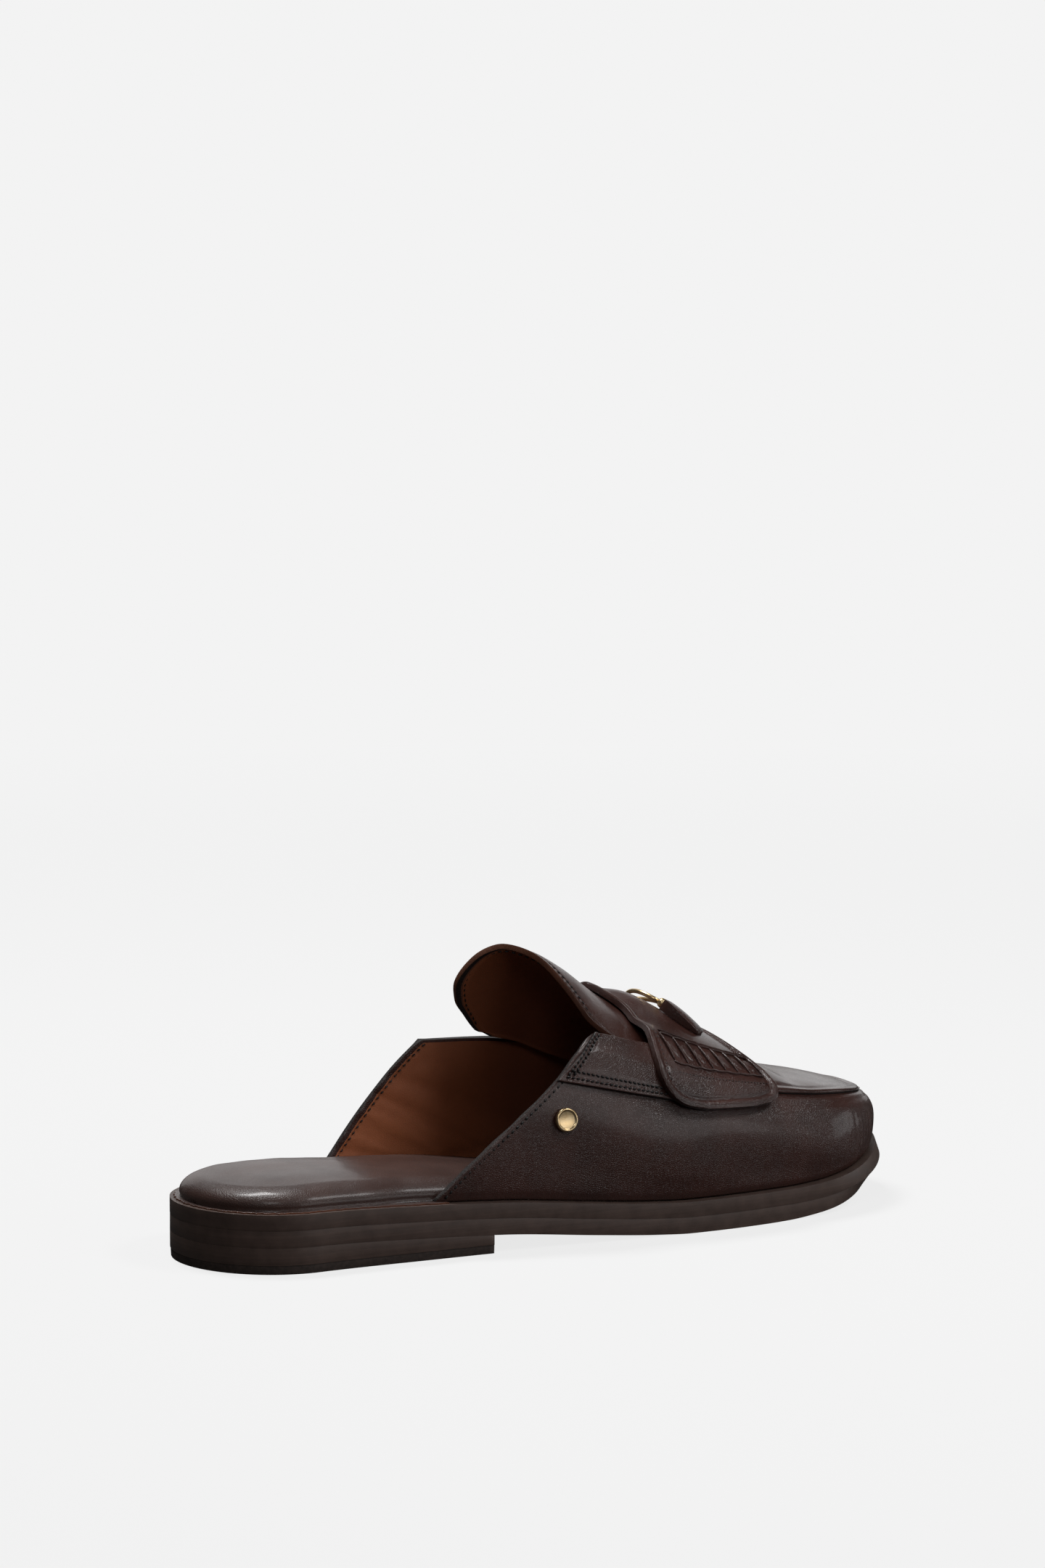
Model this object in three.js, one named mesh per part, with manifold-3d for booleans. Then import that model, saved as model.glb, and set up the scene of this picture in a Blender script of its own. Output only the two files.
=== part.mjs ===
// A right-foot backless loafer: a flat leather sole with a low stacked heel, a padded insole,
// a moccasin upper cut away behind the instep, a saddle strap, a tongue and small brass trim.
// Millimetres. While it is built, x runs from the back of the heel to the toe, y to the medial
// side and z up from the floor. The group is then moved so that its origin is at the middle of its base.
import * as THREE from "three";
import { mergeVertices } from "three/addons/utils/BufferGeometryUtils.js";
import Module from "manifold-3d";

const wasm = await Module();
wasm.setup();

// Driving sizes of the last and the sole
const soleLength = 268;
const ballWidth = 94;
const instepHeight = 80;
const heelRound = 30;
const toeRound = 50;
const toeSquareness = 2.3;

// Thicknesses and seats
const outsoleThickness = 5.1;
const midsoleThickness = 5.0;
const heelRise = 8.6;
const heelLiftThickness = 2.8;
const toeSpring = 9.6;
const seat = 0.3;
const weltMargin = 3.0;
const upperWall = 2.0;
const tongueWall = 1.8;
const panelThickness = 1.2;
const strapThickness = 1.9;
const insoleHeight = 7.2;
const insoleInset = 3.6;
const toeSockHeight = 3.0;
const wallBulge = 0.9;
const seamRidge = 1.2;

// Places along the shoe, as shares of the sole's length
const heelBreast = 0.342;
const throatLine = 0.645;

// The sole's outline: half widths as shares of the ball width, at shares of the length
const OUTLINE = [
  { along: 0.0, lateral: 0.352, medial: 0.352 },
  { along: 0.12, lateral: 0.358, medial: 0.355 },
  { along: 0.26, lateral: 0.392, medial: 0.345 },
  { along: 0.4, lateral: 0.432, medial: 0.345 },
  { along: 0.55, lateral: 0.482, medial: 0.39 },
  { along: 0.68, lateral: 0.51, medial: 0.455 },
  { along: 0.8, lateral: 0.49, medial: 0.49 },
  { along: 0.92, lateral: 0.425, medial: 0.475 },
  { along: 1.0, lateral: 0.36, medial: 0.44 },
];

// The walking side of the outsole: the rise under heel and waist, and the toe spring, as shares of each
const SOLE_RISE = [
  { along: 0.0, rise: 1.0, spring: 0 },
  { along: 0.12, rise: 0.97, spring: 0 },
  { along: 0.25, rise: 0.84, spring: 0 },
  { along: 0.36, rise: 0.66, spring: 0 },
  { along: 0.48, rise: 0.3, spring: 0 },
  { along: 0.57, rise: 0.06, spring: 0 },
  { along: 0.61, rise: 0, spring: 0 },
  { along: 0.76, rise: 0, spring: 0 },
  { along: 0.8, rise: 0, spring: 0.04 },
  { along: 0.88, rise: 0, spring: 0.26 },
  { along: 0.94, rise: 0, spring: 0.58 },
  { along: 1.0, rise: 0, spring: 1.0 },
];

// The last over the sole. seamIn and seamInMedial are the moccasin seam's distances from the sole's edge on
// the two sides, shares of the ball width. seam and ridge are heights, shares of the instep height. roll says
// how late the wall turns in, and lip is how far the seam stands out, a share of its full ridge.
const LAST = [
  { along: 0.2, seamIn: 0.075, seamInMedial: 0.02, seam: 0.72, ridge: 1.0, roll: 1.6, lip: 0 },
  { along: 0.36, seamIn: 0.09, seamInMedial: 0.022, seam: 0.775, ridge: 1.14, roll: 1.7, lip: 0 },
  { along: 0.45, seamIn: 0.1, seamInMedial: 0.035, seam: 0.775, ridge: 1.18, roll: 1.9, lip: 0 },
  { along: 0.49, seamIn: 0.105, seamInMedial: 0.05, seam: 0.755, ridge: 1.15, roll: 2.1, lip: 0 },
  { along: 0.53, seamIn: 0.112, seamInMedial: 0.065, seam: 0.725, ridge: 1.08, roll: 2.4, lip: 0 },
  { along: 0.58, seamIn: 0.117, seamInMedial: 0.09, seam: 0.66, ridge: 0.955, roll: 2.8, lip: 0 },
  { along: 0.63, seamIn: 0.116, seamInMedial: 0.1, seam: 0.605, ridge: 0.862, roll: 3.3, lip: 0 },
  { along: 0.68, seamIn: 0.112, seamInMedial: 0.105, seam: 0.57, ridge: 0.775, roll: 3.7, lip: 0 },
  { along: 0.733, seamIn: 0.108, seamInMedial: 0.106, seam: 0.54, ridge: 0.695, roll: 4.0, lip: 0.6 },
  { along: 0.785, seamIn: 0.103, seamInMedial: 0.103, seam: 0.515, ridge: 0.63, roll: 4.2, lip: 1 },
  { along: 0.825, seamIn: 0.099, seamInMedial: 0.099, seam: 0.5, ridge: 0.556, roll: 4.4, lip: 1 },
  { along: 0.87, seamIn: 0.093, seamInMedial: 0.093, seam: 0.487, ridge: 0.526, roll: 4.6, lip: 1 },
  { along: 0.93, seamIn: 0.083, seamInMedial: 0.083, seam: 0.465, ridge: 0.49, roll: 4.8, lip: 1 },
  { along: 1.0, seamIn: 0.073, seamInMedial: 0.073, seam: 0.43, ridge: 0.438, roll: 5.0, lip: 1 },
];
const crownPower = 1.9;

// The ridge of the instep stands this far to the medial side, a share of the crown's half width
const ridgePlace = 0.2;

// The quarter's cut edge on each side: shares of the length and of the instep height, from the sole up
// to the corner and forward along the top line
const LATERAL_EDGE = [
  { along: 0.215, up: 0.0 },
  { along: 0.265, up: 0.215 },
  { along: 0.436, up: 0.66 },
  { along: 0.494, up: 0.82 },
  { along: 0.506, up: 0.828 },
  { along: 0.54, up: 0.79 },
  { along: 0.6, up: 0.735 },
];
const MEDIAL_EDGE = [
  { along: 0.18, up: 0.0 },
  { along: 0.24, up: 0.215 },
  { along: 0.385, up: 0.715 },
  { along: 0.397, up: 0.74 },
  { along: 0.49, up: 0.72 },
  { along: 0.54, up: 0.7 },
  { along: 0.6, up: 0.68 },
];

// The panel laid along the top line on each side: its lower corners
const LATERAL_PANEL = { back: 0.436, backUp: 0.66, front: 0.612, frontUp: 0.525 };
const MEDIAL_PANEL = { back: 0.357, backUp: 0.61, front: 0.612, frontUp: 0.5 };

// The tongue's free rim: its place along the shoe at shares across the last, from -1 lateral to 1 medial
const TONGUE_RIM = [
  { along: -0.94, rim: 0.59 },
  { along: -0.82, rim: 0.556 },
  { along: -0.76, rim: 0.527 },
  { along: -0.68, rim: 0.514 },
  { along: -0.5, rim: 0.509 },
  { along: -0.25, rim: 0.5 },
  { along: 0.0, rim: 0.484 },
  { along: 0.25, rim: 0.453 },
  { along: 0.48, rim: 0.43 },
  { along: 0.7, rim: 0.42 },
  { along: 0.84, rim: 0.43 },
  { along: 0.94, rim: 0.452 },
  { along: 1.0, rim: 0.47 },
  { along: 1.06, rim: 0.49 },
];

// The saddle strap: its rear and front edges at shares of the way over it, from the lateral flap's lower
// edge to the medial flap's
const STRAP_EDGES = [
  { along: 0.0, rear: 0.635, front: 0.71 },
  { along: 0.012, rear: 0.608, front: 0.736 },
  { along: 0.04, rear: 0.591, front: 0.75 },
  { along: 0.08, rear: 0.581, front: 0.755 },
  { along: 0.14, rear: 0.576, front: 0.756 },
  { along: 0.22, rear: 0.582, front: 0.751 },
  { along: 0.33, rear: 0.592, front: 0.742 },
  { along: 0.42, rear: 0.596, front: 0.735 },
  { along: 0.5, rear: 0.587, front: 0.732 },
  { along: 0.58, rear: 0.575, front: 0.732 },
  { along: 0.7, rear: 0.578, front: 0.737 },
  { along: 0.8, rear: 0.574, front: 0.744 },
  { along: 0.88, rear: 0.568, front: 0.748 },
  { along: 0.93, rear: 0.577, front: 0.746 },
  { along: 0.965, rear: 0.594, front: 0.738 },
  { along: 0.99, rear: 0.618, front: 0.718 },
  { along: 1.0, rear: 0.65, front: 0.69 },
];

// The flaps' lower edges, as the way round the last at the strap's back and at its front
const flapBack = 0.214;
const flapFront = 0.252;

// The hand-sewn lacing on each end of the strap: shares of the length, and ways round the last from the
// feather
const lacingRear = 0.608;
const lacingFront = 0.742;
const lacingBars = 7;
const LATERAL_LACING = { low: 0.318, high: 0.358 };
const MEDIAL_LACING = { low: 0.283, high: 0.321 };
const lacingBed = 0.7;
const lacingBar = 0.8;
const lacingBarWidth = 1.3;
const lacingOver = 0.12;

// The snaffle: a link between two balls, each held by a leather tab
const snaffleAlong = 0.655;
const snaffleReach = 12.5;
const linkWidth = 7;
const linkWire = 1.7;
const ballDiameter = 3.6;
const collarDiameter = 2.6;
const collarLength = 1.6;
const tabLength = 9;
const tabWidth = 14;
const tabThickness = 1.6;
const tabLift = 2.2;

// The side stud
const studAlong = 0.444;
const studUp = 0.505;
const studDiameter = 7.8;
const studHeight = 1.4;

// Fineness of the faceted surfaces
const soleSteps = 34;
const wallSteps = [0, 0.2, 0.42, 0.62, 0.78, 0.9, 0.965, 1];
const crownSteps = [
  0.025, 0.06, 0.11, 0.18, 0.26, 0.34, 0.42, 0.5, 0.58, 0.66, 0.74, 0.82, 0.89, 0.94, 0.975,
];
const wallShare = 0.3;

// A smooth curve, with no overshoot, through one column of a table
function column(table, name) {
  const xs = table.map((row) => row.along);
  const ys = table.map((row) => row[name]);
  const last = xs.length - 1;
  const rise = (i) => (ys[i + 1] - ys[i]) / (xs[i + 1] - xs[i]);
  const slopes = xs.map((_, i) => {
    if (i === 0) return rise(0);
    if (i === last) return rise(last - 1);
    const [before, after] = [rise(i - 1), rise(i)];
    return before * after <= 0 ? 0 : (2 * before * after) / (before + after);
  });
  return (x) => {
    if (x <= xs[0]) return ys[0];
    if (x >= xs[last]) return ys[last];
    let i = 0;
    while (x > xs[i + 1]) i++;
    const w = xs[i + 1] - xs[i];
    const t = (x - xs[i]) / w;
    const u = 1 - t;
    return (
      ys[i] * (1 + 2 * t) * u * u +
      ys[i + 1] * (3 - 2 * t) * t * t +
      w * t * u * (slopes[i] * u - slopes[i + 1] * t)
    );
  };
}

const lateralWidth = column(OUTLINE, "lateral");
const medialWidth = column(OUTLINE, "medial");
const soleRise = column(SOLE_RISE, "rise");
const soleSpring = column(SOLE_RISE, "spring");
const seamIn = column(LAST, "seamIn");
const seamInMedial = column(LAST, "seamInMedial");
const seamUp = column(LAST, "seam");
const ridgeUp = column(LAST, "ridge");
const wallRoll = column(LAST, "roll");
const seamLip = column(LAST, "lip");

// Heights over the floor at a place x
const walkingSide = (x) =>
  heelRise * soleRise(x / soleLength) + toeSpring * soleSpring(x / soleLength);
const outsoleTop = (x) => walkingSide(x) + outsoleThickness;
const midsoleBase = (x) => outsoleTop(x) + seat;
const soleTop = (x) => midsoleBase(x) + midsoleThickness;

// A station runs from 0 at the back of the heel to 1 at the toe's tip, closer together at the ends
const placeOf = (station) => (soleLength * (1 - Math.cos(Math.PI * station))) / 2;
const stationOf = (share) => Math.acos(1 - 2 * share) / Math.PI;

function rawEdge(station, side) {
  const x = placeOf(station);
  const share = x / soleLength;
  const half = ((lateralWidth(share) + medialWidth(share)) / 2) * ballWidth;
  const centre = ((medialWidth(share) - lateralWidth(share)) / 2) * ballWidth;
  const back = x < heelRound ? Math.sqrt(1 - (1 - x / heelRound) ** 2) : 1;
  const ahead = Math.max(0, (x - soleLength + toeRound) / toeRound);
  const front = Math.max(0, 1 - Math.min(1, ahead) ** toeSquareness) ** (1 / toeSquareness);
  return new THREE.Vector2(x, centre + side * half * back * front);
}

// A point of the outline on one side, -1 lateral or 1 medial, drawn in by an inset
function edgePoint(station, side, inset) {
  const step = 1e-4;
  const point = rawEdge(station, side);
  if (station <= 0) return point.setX(point.x + inset);
  if (station >= 1) return point.setX(point.x - inset);
  const run = rawEdge(Math.min(1, station + step), side).sub(rawEdge(Math.max(0, station - step), side));
  run.normalize();
  return point.add(new THREE.Vector2(side * run.y, -side * run.x).multiplyScalar(inset));
}

// A closed geometry from triangles of points, without the ones that have no area
function closedGeometry(triangles) {
  const positions = new Float32Array(triangles.flat().flatMap((p) => [p.x, p.y, p.z]));
  const loose = new THREE.BufferGeometry();
  loose.setAttribute("position", new THREE.BufferAttribute(positions, 3));
  const merged = mergeVertices(loose, 1e-3);
  const kept = [];
  const index = merged.index.array;
  for (let i = 0; i < index.length; i += 3) {
    const [a, b, c] = index.slice(i, i + 3);
    if (a !== b && b !== c && c !== a) kept.push(a, b, c);
  }
  merged.setIndex(kept);
  return merged;
}

const quad = (a, b, c, d) => [
  [a, b, c],
  [a, c, d],
];

// A solid whose edge follows the sole's outline between two shares of the length. Each ring is the
// outline drawn in by an inset at a height; the last ring is closed by a crowned ladder of faces.
function slab({ from = 0, to = 1, rings, crown = () => 0, across = 1, steps = soleSteps }) {
  const [first, last] = [stationOf(from), stationOf(to)];
  const stations = Array.from({ length: steps + 1 }, (_, i) => first + ((last - first) * i) / steps);
  const level = ({ inset, height }) => {
    const side = (sign) =>
      stations.map((station) => {
        const p = edgePoint(station, sign, inset(placeOf(station)));
        return new THREE.Vector3(p.x, p.y, height(p.x));
      });
    return { lateral: side(-1), medial: side(1) };
  };
  const levels = rings.map(level);
  const loops = levels.map(({ lateral, medial }) => [...lateral, ...[...medial].reverse()]);
  const triangles = [];
  for (let r = 0; r + 1 < loops.length; r++)
    loops[r].forEach((p, i) => {
      const j = (i + 1) % loops[r].length;
      triangles.push(...quad(p, loops[r][j], loops[r + 1][j], loops[r + 1][i]));
    });
  const rung = ({ lateral, medial }, i, k, bend) => {
    const t = k / across;
    const p = lateral[i].clone().lerp(medial[i], t);
    p.z += bend * crown(p.x) * (1 - (2 * t - 1) ** 2);
    return p;
  };
  const cap = (ends, bend, up) => {
    for (let i = 0; i < steps; i++)
      for (let k = 0; k < across; k++) {
        const corners = [
          rung(ends, i, k, bend),
          rung(ends, i + 1, k, bend),
          rung(ends, i + 1, k + 1, bend),
          rung(ends, i, k + 1, bend),
        ];
        triangles.push(...quad(...(up ? corners : corners.reverse())));
      }
  };
  cap(levels[0], 0, false);
  cap(levels[levels.length - 1], 1, true);
  return closedGeometry(triangles);
}

// A point of the last's skin. way runs round the last, from 0 at the lateral feather edge, up the wall to
// the seam, over the crown, to 1 at the medial feather edge.
function lastPoint(station, way) {
  const side = way <= 0.5 ? -1 : 1;
  const down = side < 0 ? way : 1 - way;
  const share = placeOf(station) / soleLength;
  const insetOn = (sign) => (sign < 0 ? seamIn(share) : seamInMedial(share)) * ballWidth;
  const seamInset = insetOn(side);
  const feather = soleTop(placeOf(station)) + seat;
  const seamHeight = seamUp(share) * instepHeight;
  if (down <= wallShare || station >= 1) {
    const v = Math.min(1, down / wallShare);
    const turn = (seamInset - weltMargin) * v ** wallRoll(share);
    const edge = edgePoint(station, side, weltMargin + turn - wallBulge * Math.sin(Math.PI * v));
    return new THREE.Vector3(edge.x, edge.y, feather + (seamHeight - feather) * v);
  }
  const across = (way - 0.5) / (0.5 - wallShare);
  const lateral = edgePoint(station, -1, insetOn(-1));
  const medial = edgePoint(station, 1, insetOn(1));
  const flat = lateral.clone().lerp(medial, (across + 1) / 2);
  const crown = (ridgeUp(share) - seamUp(share)) * instepHeight;
  const aside = across - ridgePlace;
  const out = Math.abs(aside) / (aside < 0 ? 1 + ridgePlace : 1 - ridgePlace);
  return new THREE.Vector3(flat.x, flat.y, seamHeight + crown * (1 - out ** crownPower));
}

// The skin's outward normal
function lastNormal(station, way) {
  const [ds, dw] = [2e-3, 4e-3];
  if (station >= 1) {
    const down = Math.min(way, 1 - way, wallShare);
    const low = lastPoint(1, Math.max(0, down - dw));
    const high = lastPoint(1, Math.min(wallShare, down + dw));
    return new THREE.Vector3(high.z - low.z, 0, low.x - high.x).normalize();
  }
  const ahead = lastPoint(Math.min(0.9999, station + ds), way);
  ahead.sub(lastPoint(station - ds, way));
  const [low, high] = [Math.max(0, way - dw), Math.min(1, way + dw)];
  const round = lastPoint(station, high).sub(lastPoint(station, low));
  return ahead.cross(round).normalize();
}

const offLast = (station, way, distance) =>
  lastPoint(station, way).addScaledVector(lastNormal(station, way), distance);

// The way round the last at which its skin reaches a height, on one side
function wayAtHeight(station, side, height) {
  let [low, high] = [0, 0.48];
  for (let i = 0; i < 30; i++) {
    const middle = (low + high) / 2;
    const way = side < 0 ? middle : 1 - middle;
    if (lastPoint(station, way).z < height) low = middle;
    else high = middle;
  }
  return side < 0 ? low : 1 - low;
}

// A closed sheet between two surfaces over a grid. point takes the grid's shares and 0 for the inner
// surface or 1 for the outer.
function sheet(rows, columns, point) {
  const grid = (layer) => rows.map((u) => columns.map((v) => point(u, v, layer)));
  const [inner, outer] = [grid(0), grid(1)];
  const triangles = [];
  const [m, n] = [rows.length - 1, columns.length - 1];
  for (let i = 0; i < m; i++)
    for (let j = 0; j < n; j++) {
      triangles.push(...quad(outer[i][j], outer[i + 1][j], outer[i + 1][j + 1], outer[i][j + 1]));
      triangles.push(...quad(inner[i][j], inner[i][j + 1], inner[i + 1][j + 1], inner[i + 1][j]));
    }
  for (let i = 0; i < m; i++) {
    triangles.push(...quad(inner[i][0], inner[i + 1][0], outer[i + 1][0], outer[i][0]));
    triangles.push(...quad(inner[i + 1][n], inner[i][n], outer[i][n], outer[i + 1][n]));
  }
  for (let j = 0; j < n; j++) {
    triangles.push(...quad(inner[0][j + 1], inner[0][j], outer[0][j], outer[0][j + 1]));
    triangles.push(...quad(inner[m][j], inner[m][j + 1], outer[m][j + 1], outer[m][j]));
  }
  return closedGeometry(triangles);
}

const even = (count) => Array.from({ length: count + 1 }, (_, i) => i / count);

// Solids for joins and cuts
function solid(geometry) {
  const bare = new THREE.BufferGeometry();
  const source = geometry.index ? geometry.toNonIndexed() : geometry;
  bare.setAttribute("position", source.getAttribute("position").clone());
  const merged = mergeVertices(bare, 1e-3);
  return new wasm.Manifold(
    new wasm.Mesh({
      numProp: 3,
      vertProperties: new Float32Array(merged.attributes.position.array),
      triVerts: new Uint32Array(merged.index.array),
    }),
  );
}

function geometryOf(manifold) {
  const mesh = manifold.getMesh();
  const geometry = new THREE.BufferGeometry();
  geometry.setAttribute("position", new THREE.BufferAttribute(new Float32Array(mesh.vertProperties), 3));
  geometry.setIndex(new THREE.BufferAttribute(new Uint32Array(mesh.triVerts), 1));
  return geometry;
}

// Materials
const paint = (color, roughness, metalness = 0) =>
  new THREE.MeshStandardMaterial({ color, roughness, metalness });
const brownLeather = paint(0x3a2a27, 0.42);
const insoleLeather = paint(0x4a3733, 0.5);
const soleLeather = paint(0x332724, 0.55);
const rubber = paint(0x211b1a, 0.8);
const brass = paint(0xd9b873, 0.25, 1);

const shoe = new THREE.Group();
shoe.name = "backless_loafer";

function add(name, geometry, material) {
  const mesh = new THREE.Mesh(geometry, material);
  mesh.name = name;
  shoe.add(mesh);
}

// Sole: outsole, midsole with a rounded welt edge, stacked heel block and its rubber top lift
const edgeBreak = 0.6;
const weltRound = 1.5;
const ring = (inset, height) => ({ inset: () => inset, height });

function outsole() {
  const rings = [
    ring(edgeBreak, walkingSide),
    ring(0, (x) => walkingSide(x) + edgeBreak),
    ring(0, outsoleTop),
  ];
  return slab({ rings });
}

function midsole() {
  const rings = [
    ring(0.3, midsoleBase),
    ring(0, (x) => midsoleBase(x) + edgeBreak),
    ring(0, (x) => soleTop(x) - weltRound),
    ring(weltRound * 0.3, (x) => soleTop(x) - weltRound * 0.3),
    ring(weltRound, soleTop),
  ];
  return slab({ rings });
}

function heelBlock() {
  const base = heelLiftThickness + seat;
  const rings = [
    ring(0, () => base),
    ring(0, (x) => walkingSide(x) - seat),
  ];
  return slab({ to: heelBreast, rings, steps: soleSteps / 2 });
}

function heelLift() {
  const rings = [
    ring(edgeBreak, () => 0),
    ring(0.2, () => edgeBreak),
    ring(0.2, () => heelLiftThickness),
  ];
  return slab({ to: heelBreast, rings, steps: soleSteps / 2 });
}

// The padded insole: a domed heel pad that thins to a flat sock inside the upper
const INSOLE = [
  { along: 0.0, height: 0.86, inset: 0 },
  { along: 0.17, height: 1, inset: 0 },
  { along: 0.25, height: 0.95, inset: 1 },
  { along: 0.34, height: 0.8, inset: 1 },
  { along: 0.5, height: 0.3, inset: 1 },
  { along: 0.7, height: 0, inset: 1 },
  { along: 1.0, height: 0, inset: 1 },
];
const insoleShare = column(INSOLE, "height");
const insoleTuck = column(INSOLE, "inset");

function insole() {
  const tucked = weltMargin + upperWall + 2 * seat + 0.6;
  const inset = (x) => insoleInset + (tucked - insoleInset) * insoleTuck(x / soleLength);
  const thick = (x) => toeSockHeight + (insoleHeight - toeSockHeight) * insoleShare(x / soleLength);
  const domed = (drawn, risen) => ({
    inset: (x) => inset(x) + drawn * thick(x),
    height: (x) => soleTop(x) + seat + risen * thick(x),
  });
  const rings = [domed(0.12, 0), domed(0, 0.3), domed(0.06, 0.55), domed(0.3, 0.82), domed(0.75, 0.95)];
  return slab({ rings, crown: (x) => 0.12 * thick(x), across: 4 });
}

// The upper: a hollow shell over the last, cut away behind the quarters and over the instep
function shellWays() {
  const lateral = wallSteps.map((v) => v * wallShare);
  const crown = crownSteps.map((v) => wallShare + v * (1 - 2 * wallShare));
  return [...lateral, ...crown, ...[...lateral].reverse().map((way) => 1 - way)];
}

// How far the seam's lip stands out at a way round the last
function lipAt(station, way) {
  const share = placeOf(station) / soleLength;
  const inward = (Math.min(way, 1 - way) - wallShare) / (0.5 - wallShare);
  if (inward < -0.02 || inward > 0.2) return 0;
  return seamRidge * seamLip(share) * (1 - Math.max(0, inward) / 0.2);
}

function edgeCutter(edge, side) {
  const outline = edge.map((row) => [row.along * soleLength, row.up * instepHeight]);
  const [above, behind, below] = [2 * instepHeight, -soleLength, -instepHeight];
  const shape = new THREE.Shape();
  shape.moveTo(outline[0][0], below);
  outline.forEach(([x, z]) => shape.lineTo(x, z));
  shape.lineTo(throatLine * soleLength, outline[outline.length - 1][1]);
  shape.lineTo(throatLine * soleLength, above);
  shape.lineTo(behind, above);
  shape.lineTo(behind, below);
  const block = new THREE.ExtrudeGeometry(shape, { depth: ballWidth, bevelEnabled: false });
  block.rotateX(Math.PI / 2);
  block.translate(0, side > 0 ? ballWidth : 0, 0);
  return solid(block);
}

function upper() {
  const first = stationOf(0.19);
  const stations = even(30).map((u) => first + (1 - first) * u);
  const shell = sheet(stations, shellWays(), (station, way, layer) => {
    const distance = layer ? lipAt(station, way) : -upperWall;
    const p = offLast(station, way, distance);
    if (way === 0 || way === 1) p.z = soleTop(p.x) + seat;
    return p;
  });
  const cut = solid(shell).subtract(edgeCutter(LATERAL_EDGE, -1)).subtract(edgeCutter(MEDIAL_EDGE, 1));
  return geometryOf(cut);
}

// The tongue: a sheet under the throat that rises out of it behind the strap
function tongue() {
  const rim = column(TONGUE_RIM, "rim");
  const reach = 0.5 - wallShare;
  const outer = -upperWall - seat;
  const [lateral, medial] = [TONGUE_RIM[0].along, TONGUE_RIM[TONGUE_RIM.length - 1].along];
  return sheet(even(9), even(20), (u, v, layer) => {
    const across = lateral + (medial - lateral) * v;
    const share = rim(across) + (throatLine + 0.02 - rim(across)) * u;
    return offLast(stationOf(share), 0.5 + reach * across, layer ? outer : outer - tongueWall);
  });
}

// The panel laid over the quarter along its top line
const panelUnder = seat + 0.15;

function collarPanel(edge, panel, side) {
  const top = edge.slice(3).map((row) => ({ along: row.along, up: row.up }));
  const topUp = column(top, "up");
  const corner = top[0].along;
  const trim = 0.004;
  const point = (u, v, layer) => {
    const lowShare = panel.back + (panel.front - panel.back) * u;
    const highShare = corner + (panel.front - corner) * u;
    const lowUp = panel.backUp + (panel.frontUp - panel.backUp) * u;
    const share = lowShare + (highShare - lowShare) * v + trim * (1 - u);
    const up = lowUp + (topUp(highShare) - 0.006 - lowUp) * v;
    const station = stationOf(share);
    const way = wayAtHeight(station, side, up * instepHeight);
    return offLast(station, way, layer ? panelUnder + panelThickness : panelUnder);
  };
  const columns = side < 0 ? (v) => v : (v) => 1 - v;
  return sheet(even(12), even(8), (u, v, layer) => point(u, columns(v), layer));
}

// The saddle strap over the instep, with a flap on each side
const strapUnder = panelUnder + panelThickness + seat + 0.15;
const strapOver = strapUnder + strapThickness;

function saddleStrap() {
  const rear = column(STRAP_EDGES, "rear");
  const front = column(STRAP_EDGES, "front");
  const [back, ahead] = [rear(0.14), front(0.14)];
  const end = [0, 0.005, 0.012, 0.022, 0.035, 0.05];
  const middle = even(22)
    .slice(1, -1)
    .map((v) => 0.05 + 0.9 * v);
  const overs = [...end, ...middle, ...[...end].reverse().map((v) => 1 - v)];
  return sheet(even(8), overs, (u, over, layer) => {
    const share = rear(over) + (front(over) - rear(over)) * u;
    const low = flapBack + ((flapFront - flapBack) * (share - back)) / (ahead - back);
    const way = low + (1 - 2 * low) * over;
    return offLast(stationOf(share), way, layer ? strapOver : strapUnder);
  });
}

// The lacing on one end of the strap: a raised bed with bars across it
function lacing({ low: lowest, high: highest }, side) {
  const wayOf = (v) => {
    const way = lowest + (highest - lowest) * v;
    return side < 0 ? way : 1 - way;
  };
  const patch = (from, to, count, low, high, under, over) =>
    sheet(even(count), even(2), (u, v, layer) => {
      const across = low + (high - low) * (side < 0 ? v : 1 - v);
      return offLast(stationOf(from + (to - from) * u), wayOf(across), layer ? over : under);
    });
  const base = strapOver + seat;
  const half = lacingBarWidth / 2 / soleLength;
  let joined = solid(patch(lacingRear, lacingFront, 12, 0, 1, base, base + lacingBed));
  for (let i = 0; i < lacingBars; i++) {
    const at = lacingRear + ((lacingFront - lacingRear) * (i + 0.5)) / lacingBars;
    const bar = patch(at - half, at + half, 1, -lacingOver, 1 + lacingOver, base, base + lacingBed + lacingBar);
    joined = joined.add(solid(bar));
  }
  return geometryOf(joined);
}

// The snaffle and its tabs lie across the crown of the strap
const ridgeWay = 0.5 + ridgePlace * (0.5 - wallShare);
const snaffleStation = stationOf(snaffleAlong);

// The way round the last after a run over the strap's crown from its middle, in mm
function wayAfter(run) {
  const size = offLast(snaffleStation, ridgeWay + 0.05, strapOver)
    .sub(offLast(snaffleStation, ridgeWay - 0.05, strapOver))
    .length();
  return ridgeWay + (0.1 * run) / size;
}

function onStrap(run, ahead, lift) {
  const station = stationOf(snaffleAlong + ahead / soleLength);
  return offLast(station, wayAfter(run), strapOver + lift);
}

// The two end pieces stand this far over the strap, so that the link hangs between them
const snaffleLift = seat + ballDiameter / 2;

function snaffleLink() {
  const long = snaffleReach - ballDiameter - 0.6;
  const points = even(23)
    .slice(0, -1)
    .map((u) => {
      const turn = 2 * Math.PI * u;
      return onStrap(long * Math.cos(turn), (linkWidth / 2) * Math.sin(turn), snaffleLift);
    });
  const path = new THREE.CatmullRomCurve3(points, true);
  const section = new THREE.Shape().absarc(0, 0, linkWire / 2, 0, 2 * Math.PI);
  return new THREE.ExtrudeGeometry(section, { steps: 32, extrudePath: path, curveSegments: 4 });
}

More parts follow.
